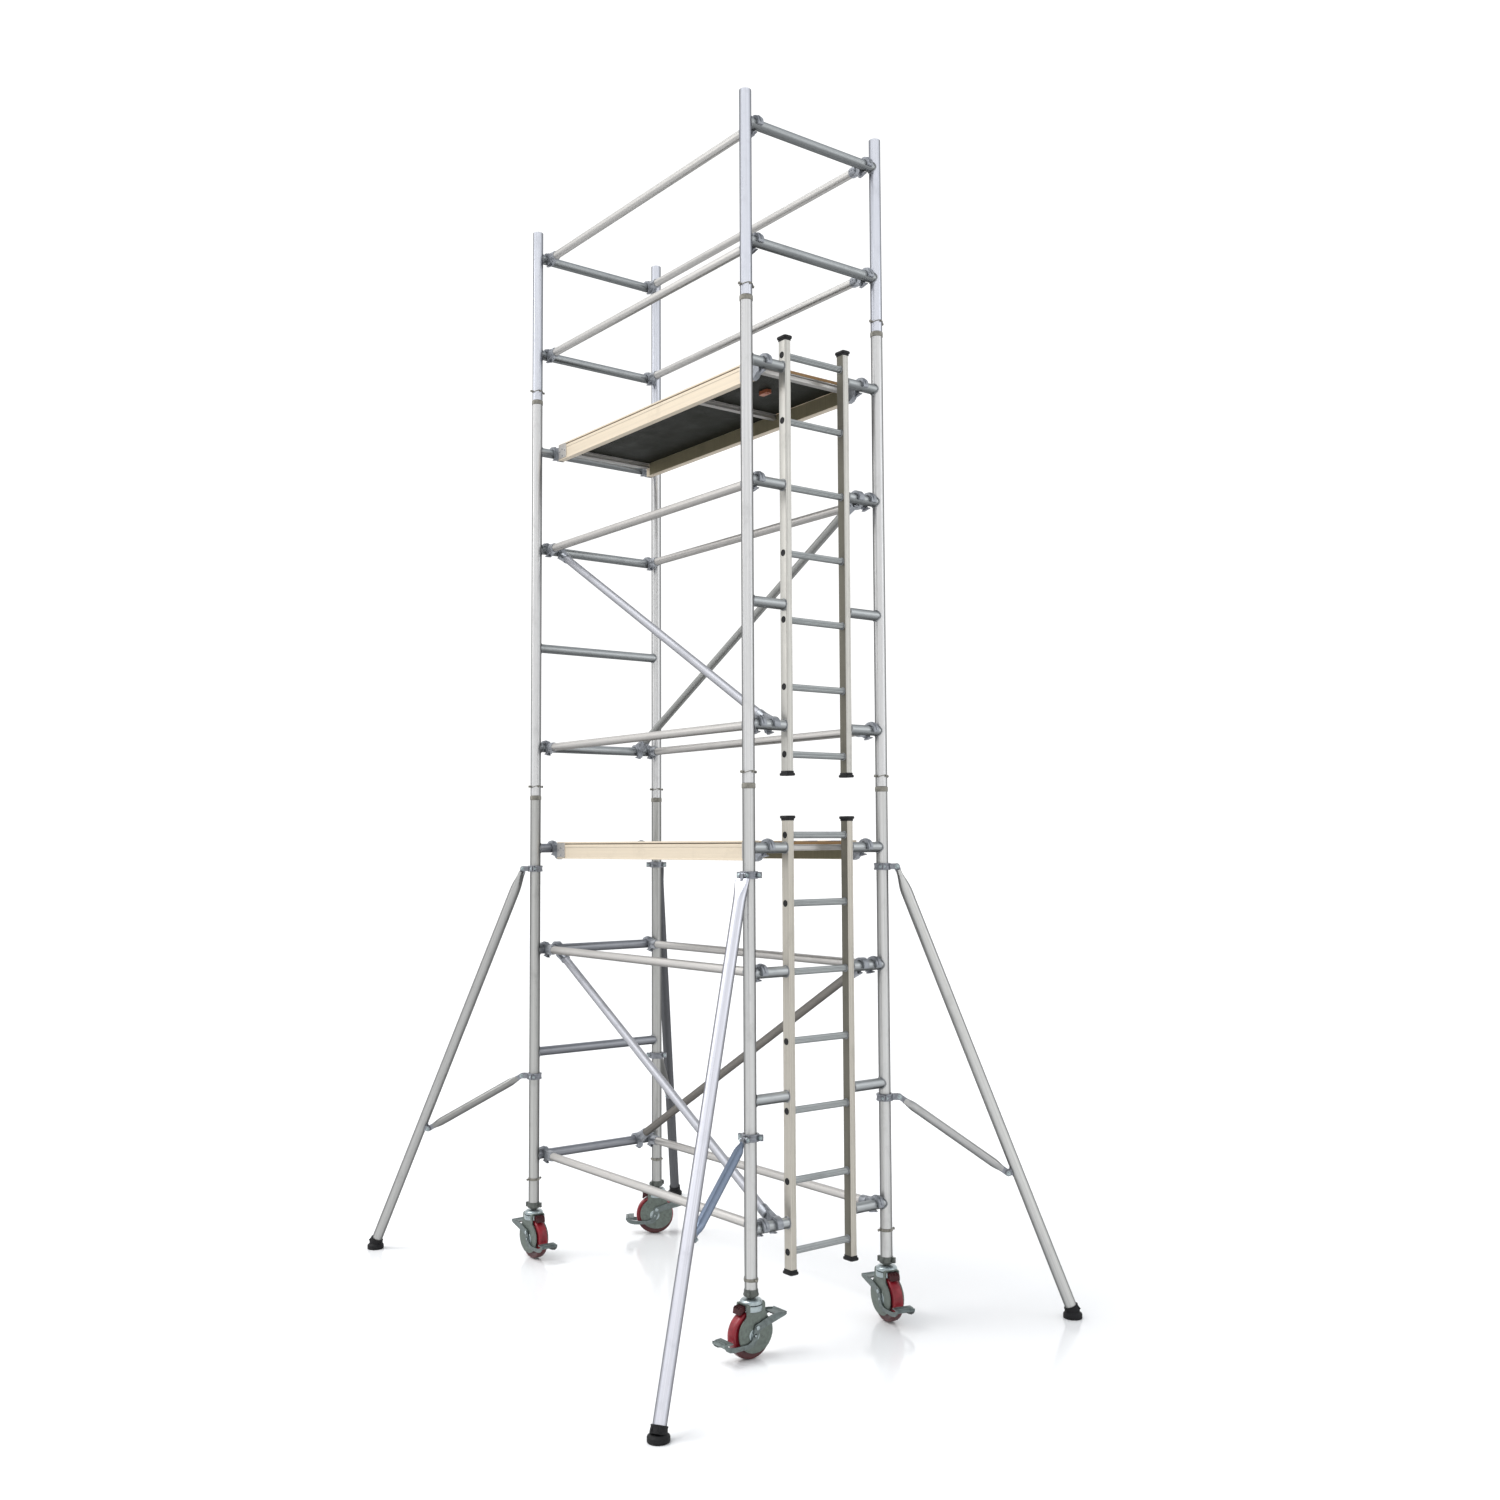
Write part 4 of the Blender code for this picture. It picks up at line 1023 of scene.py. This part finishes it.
def fork_section(outer, crown):
    """Half of the fork's cross-section from the cheek's bottom to the crown's middle."""
    corner = 0.011
    points = [(outer, z) for z in (0.0274, 0.0288, 0.0315, 0.036, 0.042, 0.05, 0.061,
                                   0.074, 0.088, 0.103, 0.118, 0.132, 0.146, 0.1577, 0.165,
                                   0.172, 0.182, 0.194, crown - corner)]
    points += [(outer - corner + corner * math.cos(turn), crown - corner
                + corner * math.sin(turn)) for turn in (0.4, 0.8, 1.2, math.pi / 2)]
    points.append((outer - corner - 0.01, crown))
    return points


def fork_edges(z):
    """How far a cheek reaches behind and ahead at a height: a disc below, a shoulder above."""
    rise = min(CHEEK_RADIUS - 0.0004, abs(z - CHEEK_CENTRE[1]))
    half = math.sqrt(CHEEK_RADIUS ** 2 - rise ** 2)
    back = -0.004 - 1.06 * half
    if z > CHEEK_CENTRE[1]:
        back = min(CROWN_BACK, back)
    shoulder = min(1.0, max(0.0, (z - 0.1577) / 0.0223))
    front = CHEEK_CENTRE[0] + half if shoulder == 0.0 else 0.0568 - 0.0128 * shoulder
    return back, front


def fork_skin(shape):
    """A pressed steel fork: one bent sheet with thickness."""
    columns = 14
    surfaces = []
    for inset in (0.0, FORK_SHEET):
        half = fork_section(FORK_HALF - inset, HEAD_TOP - 0.011 - inset)
        whole = half + [(-y, z) for y, z in reversed(half)]
        rows = []
        for y, z in whole:
            back, front = fork_edges(z)
            rows.append([(back + (front - back) * k / columns, y, z)
                         for k in range(columns + 1)])
        surfaces.append(rows)
    shape.at(Matrix())
    skins = [[[shape.vert(point) for point in row] for row in rows] for rows in surfaces]
    for rows in skins:
        for lower, upper in zip(rows, rows[1:]):
            for k in range(columns):
                shape.mesh.faces.new((lower[k], lower[k + 1], upper[k + 1], upper[k]))
    outside, inside = skins
    for k in range(columns):
        for end in (0, -1):
            shape.mesh.faces.new((outside[end][k], outside[end][k + 1],
                                  inside[end][k + 1], inside[end][k]))
    for i in range(len(outside) - 1):
        for end in (0, -1):
            shape.mesh.faces.new((outside[i][end], outside[i + 1][end],
                                  inside[i + 1][end], inside[i][end]))


def castor(corner):
    place = joint_place("castor_swivel_" + corner)
    base = moved(place.x, place.y) @ Matrix.Rotation(heading_of(corner), 4, "Z")
    castor_fork(corner, base)
    castor_bolts(corner, base)
    castor_seal_and_shoe(corner, base)
    castor_stem(corner, base)
    castor_wheel(corner, base)
    castor_pedals(corner, base)


def castor_fork(corner, base):
    """The fork, the swivel head on its crown and the round bosses at its axle."""
    body = "castor_" + corner
    fork = Shape(base)
    fork_skin(fork)
    fork.piece("fork_" + corner, ZINC, body, "castor_housing", ["castor_fork_" + corner], 0.0009)
    head = Shape(base)
    head.at(moved(z=HEAD_TOP))
    head.lathe(mm((44, -44), (45.5, -42.5), (46, -40), (46, -25), (45, -22.5), (42, -21.5),
                  (41.5, -18.5), (44.8, -17.5), (45.2, -15.5), (44, -8), (38.5, -2.5), (30, 0),
                  (18, 0)), 48)
    for side in (-1, 1):
        head.at(moved(-TRAIL, side * 0.034, WHEEL_RADIUS) @ turned(-90 * side, "X"))
        head.lathe(mm((25, 0), (24, 1.4), (21.5, 1.8), (16.5, 1), (14, 1)), 36)
    head.piece("swivel_head_" + corner, ZINC_BRIGHT, body, "castor_housing")


def castor_bolts(corner, base):
    """The axle with its nuts, and the pins that the brake rocker turns on."""
    bolts = Shape(base)
    for side in (-1, 1):
        bolts.nut((-TRAIL, side * 0.035, WHEEL_RADIUS), (0, side, 0), 0.01, 0.0075)
        bolts.rod((0, side * 0.033, PEDAL_PIVOT_Z), (0, side * 0.0452, PEDAL_PIVOT_Z), 0.0058, 20)
        bolts.dome((0, side * 0.045, PEDAL_PIVOT_Z), (0, side, 0), 0.0088, 0.0028)
    bolts.rod((-TRAIL, -0.036, WHEEL_RADIUS), (-TRAIL, 0.036, WHEEL_RADIUS), 0.0078, 20)
    bolts.piece("axle_" + corner, ZINC_BRIGHT, "castor_" + corner, "castor_pedal")


def castor_seal_and_shoe(corner, base):
    """The dark ring in the swivel head's groove, and the ribbed brake shoe ahead of the crown."""
    body = "castor_" + corner
    top = moved(z=HEAD_TOP)
    seal = Shape(base)
    seal.at(top)
    seal.lathe(mm((30, -23.5), (43.8, -22.8), (43.8, -17.5), (30, -16.8)), 40)
    seal.piece("swivel_seal_" + corner, DARK_STEEL, body, "castor_housing", (), 0.0008)
    shoe = Shape(base)
    block = mm((-44, -40), (-56, -41.5), (-70, -50), (-74.5, -48), (-72, -28), (-66, -21.5),
               (-44, -20.5))
    shoe.prism(block, -0.0215, 0.0215, top @ UPRIGHT_XZ)
    for rib in (-0.013, 0.0, 0.013):
        shoe.box((-0.0735, rib - 0.0016, -0.027), (-0.046, rib + 0.0016, -0.0185), top)
    shoe.piece("brake_shoe_" + corner, SHOE, body, "castor_housing", (), 0.001)


def castor_stem(corner, base):
    """What is fixed to the post: the kingpin and its nuts, and the eared collar."""
    top = moved(z=HEAD_TOP)
    stem = Shape(base)
    stem.at(top)
    stem.lathe(mm((12, -35), (12.2, 2), (16.5, 2.5), (16.5, 4), (12.2, 4.5), (12.2, 26)), 28)
    stem.at(top)
    stem.lathe(mm((18.5, 2.8), (20, 4), (20, 12.5), (18.5, 14)), 6)
    stem.at(top)
    stem.lathe(mm((22.5, 10), (30, 11.2), (31.2, 13), (31.2, 18), (29, 21), (28, 34),
                  (26.8, 36.5), (22.5, 36.5)), ROUND)
    for turn in (0, math.pi):
        ear = top @ Matrix.Rotation(turn + 0.6, 4, "Z")
        stem.box((0.026, -0.0065, 0.0125), (0.04, 0.0065, 0.0345), ear)
        stem.nut(ear @ Vector((0.0345, -0.0065, 0.0235)), ear.to_3x3() @ Vector((0, -1, 0)),
                 0.0055, 0.0045)
    stem.piece("stem_" + corner, STEM, "tower", "clamp_steel")
    ring_z = HEAD_TOP + (0.072 if corner == "front_right" else 0.147)
    clip = Shape(base)
    clip.at(Matrix())
    clip.lathe([(0.0257, ring_z - 0.0065), (0.0285, ring_z - 0.005), (0.029, ring_z),
                (0.0285, ring_z + 0.005), (0.0257, ring_z + 0.0065)], ROUND)
    post_clip(clip, 0, ring_z)
    clip.piece("stem_clip_" + corner, CLIP, "tower", "clamp_steel")


def castor_wheel(corner, base):
    body = "wheel_" + corner
    hub = base @ moved(-TRAIL, 0, WHEEL_RADIUS) @ turned(-90, "X")
    core = Shape(hub)
    side = mm((9.2, 26.2), (14, 26.5), (18, 26.2), (19.5, 23.5), (25, 21.5), (28, 18), (30, 12),
              (48, 11), (54, 13), (58, 19), (62, 20.5), (66, 20.5))
    core.lathe(side + [(radius, -z) for radius, z in reversed(side)], 56, True)
    for i in range(6):
        spoke = Matrix.Rotation(math.pi * (i + 0.5) / 3, 4, "Z")
        outline = mm((26, -3.5), (58, -5), (58, 5), (26, 3.5))
        core.prism(outline, -0.018, 0.018, spoke)
    core.piece("wheel_core_" + corner, RIM, body, "castor_tread", ["castor_wheel_" + corner],
               0.0008)
    tread = Shape(hub)
    tread.at(Matrix())
    reach = WHEEL_RADIUS
    half = [(0.063, 0.0185), (0.065, 0.0212), (reach - 0.015, 0.0222),
            (reach - 0.012, 0.0232), (reach - 0.007, 0.023), (reach - 0.004, 0.0212),
            (reach - 0.0018, 0.0175), (reach - 0.0006, 0.0105)]
    profile = half + [(reach, 0.0)] + [(radius, -z) for radius, z in reversed(half)]
    tread.lathe(profile, 72, True)
    tread.piece("tread_" + corner, TREAD, body, "castor_tread")


def castor_pedals(corner, base):
    """The brake rocker: side arms, a scooped release plate and a curled foot plate."""
    body = "brake_" + corner
    rocker = Shape(base @ moved(z=PEDAL_PIVOT_Z))
    arm = mm((-158, -47), (-150, -59), (-135, -68), (-115, -72), (-95, -73), (-30, -71),
             (-13, -64), (-4, -52), (6, -27), (14, -12), (35, -5), (95, 10), (138, 21.5),
             (147, 27), (142, 33.5), (118, 38.5), (92, 40), (48, 30), (8, 16.5), (-8, 12),
             (-14, 4), (-17, -16), (-22, -34), (-30, -48), (-48, -55), (-110, -54), (-130, -50),
             (-145, -42), (-158, -37))
    for side in (-1, 1):
        low, high = sorted((side * 0.0375, side * 0.0425))
        rocker.prism(arm, -high, -low, UPRIGHT_XZ)
    half = 0.0415
    low_plate = mm((-118, -35), (-128, -35.6), (-140, -35.6), (-151, -39), (-160, -45.5),
                   (-157.5, -50), (-149, -44.5), (-138, -41), (-128, -41), (-118, -40.5))
    high_plate = mm((98, 26), (112, 28), (126, 25.5), (139, 26.5), (148, 32.5), (145, 36.5),
                    (136, 32), (126, 30.5), (112, 33), (98, 31))
    for outline in (low_plate, high_plate):
        rocker.prism(outline, -half, half, UPRIGHT_XZ)
    for x in (-0.148, -0.14, -0.132, -0.124):
        rocker.box((x - 0.0012, -0.03, -0.04), (x + 0.0012, 0.03, -0.0342), Matrix())
    rocker.piece("brake_rocker_" + corner, PEDAL, body, "castor_pedal",
                 ["castor_brake_" + corner], 0.001)


for name in CORNERS:
    castor(name)

# ---- outriggers ---------------------------------------------------------------------------
STRUTS = {"front_right": STRUT_BLUE, "back_left": STRUT_SHADED, "front_left": STRUT_SHADED}


def flattened(radius, half_wide, half_thick, share):
    """A tube's outline pressed flat by a share from 0 to 1."""
    power = 1 - 0.55 * share
    count = 32
    points = []
    for i in range(count):
        turn = 2 * math.pi * i / count
        x, y = math.cos(turn), math.sin(turn)
        x = math.copysign(abs(x) ** power, x) * (radius + (half_wide - radius) * share)
        y = math.copysign(abs(y) ** power, y) * (radius + (half_thick - radius) * share)
        points.append((x, y))
    return points


def swaged_tube(shape, radius, low, high, press_low, press_high, wide, thick, press=0.05):
    """A tube along Z whose ends are pressed flat where asked."""
    stations = []
    if press_low:
        stations += [(low + press * step, 1 - step) for step in (0, 0.25, 0.5, 0.75)]
    stations += [(low + (press if press_low else 0), 0.0), (high - (press if press_high else 0),
                                                            0.0)]
    if press_high:
        stations += [(high - press * step, 1 - step) for step in (0.75, 0.5, 0.25, 0)]
    shape.loft([[(x, y, z) for x, y in flattened(radius, wide, thick, share * share
                                                 * (3 - 2 * share))]
                for z, share in stations])


def pivot_ear(shape, bolts, side, root, x, z, radius, nut):
    """One of the two ears round a pivot bolt, and the nut on it."""
    sweep = 180 if x > root else -180
    outline = [(root, -0.012), (x, -radius)]
    outline += arc(radius, -90, sweep - 90, 14, (x, 0))[1:-1]
    outline += [(x, radius), (root, 0.012)]
    low, high = sorted((side * 0.0076, side * 0.0134))
    shape.prism(outline, -high, -low, moved(z=z) @ UPRIGHT_XZ)
    bolts.nut((x, side * 0.0134, z), (0, side, 0), *nut)


def pivot_bolt(bolts, x, z):
    bolts.rod((x, -0.014, z), (x, 0.014, z), 0.0058, 20)


def eared_collar(shape, bolts, z):
    """A two-part collar on the post with pivot ears, bolt flanges and its bolts."""
    shape.at(moved(z=z))
    upper = mm((34.6, 5.5), (36.2, 7), (36.2, 13.8), (35, 15))
    shape.lathe([(0.0262, -0.0148)] + [(radius, -height) for radius, height in reversed(upper)]
                + upper + [(0.0262, 0.0148)], ROUND, True)
    for side in (-1, 1):
        pivot_ear(shape, bolts, side, 0.031, PIVOT_OFFSET, z, 0.0128, (0.0078, 0.0065))
        flange = [(side * 0.03, -0.0125), (side * 0.052, -0.0125), (side * 0.052, 0.0125),
                  (side * 0.03, 0.0125)]
        for gap in (-1, 1):
            low, high = sorted((gap * 0.0012, gap * 0.0062))
            shape.prism(flange, low, high, moved(-0.004, 0, z) @ turned(90, "Z")
                        @ turned(90, "X"))
        bolts.nut((-0.0102, side * 0.0435, z), (-1, 0, 0), 0.0068, 0.006)
        bolts.nut((0.0022, side * 0.0435, z), (1, 0, 0), 0.0068, 0.005)
    pivot_bolt(bolts, PIVOT_OFFSET, z)


def outrigger(corner):
    """Works out where the leg and the strut lie from their joints, then makes the pieces."""
    swing = joint_place("outrigger_swing_" + corner)
    plane = moved(swing.x, swing.y) @ Matrix.Rotation(outward_of(corner), 4, "Z")
    level = plane.inverted()
    top = level @ joint_place("leg_lift_" + corner)
    strut_foot = level @ joint_place("strut_fold_" + corner)
    lean = (math.atan2(strut_foot.x - top.x, top.z - strut_foot.z)
            + math.asin(STRUT_LUG / (strut_foot - top).length))
    rise = math.sqrt(STRUT_LENGTH ** 2 - (strut_foot.x - PIVOT_OFFSET) ** 2)
    strut_lean = math.atan2(PIVOT_OFFSET - strut_foot.x, rise)
    leg_place = plane @ Matrix.Translation(top) @ Matrix.Rotation(-lean, 4, "Y")
    strut_place = plane @ Matrix.Translation(strut_foot) @ Matrix.Rotation(strut_lean, 4, "Y")

    collar, bolts = shapes(plane, 2)
    eared_collar(collar, bolts, top.z)
    eared_collar(collar, bolts, strut_foot.z + rise)
    collar.piece("collars_" + corner, STEEL, "outrigger_" + corner, "clamp_steel",
                 ["outrigger_clamp_" + corner, "outrigger_lower_clamp_" + corner], 0.0009)
    bolts.piece("collar_bolts_" + corner, ZINC_BRIGHT, "outrigger_" + corner, "clamp_steel")
    outrigger_leg(corner, leg_place)
    outrigger_strut(corner, strut_place)
    foot(corner, plane, leg_place)


def outrigger_leg(corner, place):
    body = "leg_" + corner
    leg, leg_bolts, lugs = shapes(place, 3)
    leg.at(Matrix())
    swaged_tube(leg, 0.025, -LEG_LENGTH, -0.016, False, True, 0.0085, 0.03, 0.095)
    leg.piece("leg_tube_" + corner, LEG_ALLOY[corner], body, "outrigger_tube",
              ["outrigger_leg_" + corner])
    lug_z = -STRUT_AT * LEG_LENGTH
    for side in (-1, 1):
        pivot_ear(lugs, leg_bolts, side, -0.022, -STRUT_LUG, lug_z, 0.0122, (0.0072, 0.006))
    pivot_bolt(leg_bolts, -STRUT_LUG, lug_z)
    lugs.prism(rounded_rectangle(0.0115, 0.02, 0.006), 0.0, 0.003,
               towards((-1, 0, 0), (-0.0238, 0, lug_z)))
    tongue = arc(0.0135, 0, 180, 14) + [(-0.01, -0.03), (0.01, -0.03)]
    lugs.prism(tongue, -0.0064, 0.0064, UPRIGHT_XZ)
    lugs.piece("leg_fittings_" + corner, STEEL, body, "outrigger_tube", (), 0.0008)
    leg_bolts.piece("leg_bolts_" + corner, ZINC_BRIGHT, body, "clamp_steel")


def outrigger_strut(corner, place):
    body = "strut_" + corner
    strut, ends = shapes(place, 2)
    strut.at(Matrix())
    swaged_tube(strut, 0.019, 0.026, STRUT_LENGTH - 0.026, True, True, 0.013, 0.0062)
    strut.piece("strut_tube_" + corner, STRUTS.get(corner, STRUT_ALLOY), body, "outrigger_tube",
                ["outrigger_strut_" + corner])
    foot_tongue = arc(0.0133, 180, 360, 14) + [(0.0128, 0.034), (-0.0128, 0.034)]
    ends.prism(foot_tongue, -0.0063, 0.0063, UPRIGHT_XZ)
    ends.prism(hook_outline(), -0.0063, 0.0063, moved(z=STRUT_LENGTH) @ UPRIGHT_XZ)
    ends.piece("strut_ends_" + corner, STEEL, body, "outrigger_tube", (), 0.0007)


def hook_outline():
    """The strut's open end: a seat for the pin that is open above and on the outer side."""
    points = [(0.0064, 0.0117)] + list(reversed(arc(0.0133, -20, 60, 6)))[1:]
    points += mm((12.6, -34), (-10.5, -34), (-11.6, -6.5), (2.6, -6.4))
    points += arc(0.0069, -66, -24, 4)
    return points


def foot(corner, plane, leg_place):
    """A rubber shoe: a ribbed round pad and a boot up the leg's end."""
    body = "leg_" + corner
    end = plane.inverted() @ leg_place @ Vector((0, 0, -LEG_LENGTH))
    pad = Shape(plane)
    pad.at(moved(end.x))
    pad.lathe(mm((37, 0), (39.5, 1.2), (40, 3.5), (39, 5.2), (40, 7), (40, 16.5), (38.5, 20),
                 (34.5, 22.5), (31.5, 27), (18, 29)), 56)
    pad.piece("foot_pad_" + corner, RUBBER, body, "foot_rubber", ["outrigger_foot_" + corner])
    boot = Shape(leg_place)
    boot.at(moved(z=-LEG_LENGTH))
    boot.lathe(mm((25.6, -6.5), (30, -6.5), (31, -4), (30.6, 8), (29.8, 12), (29.8, 17),
                  (30.6, 18.5), (30.6, 21), (29.6, 22.4), (25.6, 22.4)), 44, True)
    for turn in (0.5, 2.6, 3.7, 5.8):
        web = mm((28.5, 0), (36.5, 0), (30, 18), (28.5, 18))
        boot.prism(web, -0.0025, 0.0025, moved(z=-LEG_LENGTH)
                   @ Matrix.Rotation(turn, 4, "Z") @ UPRIGHT_XZ)
    boot.piece("foot_boot_" + corner, RUBBER, body, "foot_rubber", (), 0.0006)


for name in CORNERS:
    outrigger(name)

# ---- floor and light ----------------------------------------------------------------------


def studio_floor():
    size = 60
    floor = bpy.data.meshes.new("floor")
    corners = [(-size, -size), (size, -size), (size, size), (-size, size)]
    floor.from_pydata([(x, y, -0.0004) for x, y in corners], [], [(0, 1, 2, 3)])
    item = bpy.data.objects.new("floor", floor)
    bpy.context.scene.collection.objects.link(item)
    surface = bpy.data.materials.new("floor_white")
    surface.use_nodes = True
    shader = surface.node_tree.nodes["Principled BSDF"]
    shader.inputs["Base Color"].default_value = (0.95, 0.95, 0.95, 1)
    shader.inputs["Roughness"].default_value = 0.13
    shader.inputs["Specular IOR Level"].default_value = 0.35
    floor.materials.append(surface)


def studio_sky():
    """White all round, greyer overhead and a little dimmer along one level way."""
    world = bpy.data.worlds.new("studio")
    bpy.context.scene.world = world
    world.use_nodes = True
    tree = world.node_tree

    def add(kind, source, socket):
        node = tree.nodes.new(kind)
        tree.links.new(source, node.inputs[socket])
        return node

    def colour_steps(source, stops):
        node = add("ShaderNodeValToRGB", source, "Fac")
        elements = node.color_ramp.elements
        for element, (place, colour) in zip(elements, stops):
            element.position, element.color = place, (*colour, 1)
        for place, colour in stops[2:]:
            elements.new(place).color = (*colour, 1)
        return node.outputs["Color"]

    way = tree.nodes.new("ShaderNodeTexCoord").outputs["Generated"]
    up = add("ShaderNodeSeparateXYZ", way, 0).outputs["Z"]
    sideways = add("ShaderNodeVectorMath", way, 0)
    sideways.operation = "DOT_PRODUCT"
    sideways.inputs[1].default_value = SIDE_LIGHT_WAY
    spread = add("ShaderNodeMapRange", sideways.outputs["Value"], "Value")
    spread.inputs["From Min"].default_value = -1.0
    white = (1.0, 1.0, 1.0)
    heights = colour_steps(up, ((0.58, white), (0.92, (0.4, 0.44, 0.5))))
    bands = colour_steps(spread.outputs["Result"], (
        (0.03, (0.84, 0.85, 0.86)), (0.97, (0.72, 0.73, 0.75)), (0.22, white), (0.78, white)))
    product = tree.nodes.new("ShaderNodeMix")
    product.data_type = "RGBA"
    product.blend_type = "MULTIPLY"
    product.inputs["Factor"].default_value = 1.0
    tree.links.new(heights, product.inputs[6])
    tree.links.new(bands, product.inputs[7])
    background = tree.nodes["Background"]
    tree.links.new(product.outputs[2], background.inputs["Color"])
    background.inputs["Strength"].default_value = 1.12


def lamp(name, kind, power, place, aim):
    light = bpy.data.lights.new(name, kind)
    light.energy = power
    item = bpy.data.objects.new(name, light)
    bpy.context.scene.collection.objects.link(item)
    place, aim = TOWER + Vector(place), TOWER + Vector(aim)
    item.matrix_world = along(place, aim)[0] @ turned(180, "X")
    return light


def softbox(name, place, width, height, power, colour):
    light = lamp(name, "AREA", power, place, (0, 0, 2.6))
    light.shape = "RECTANGLE"
    light.size, light.size_y = width, height
    light.color = colour


studio_floor()
studio_sky()
lamp("daylight", "SUN", 1.85, (-3.0, -4.5, 9.0), (0, 0, 0)).angle = math.radians(38)
softbox("key", (-5.5, -7.5, 6.0), 3.0, 5.0, 110, (1.0, 0.99, 0.97))
softbox("rim", (7.5, 5.5, 5.0), 2.5, 5.0, 60, (0.96, 0.98, 1.0))
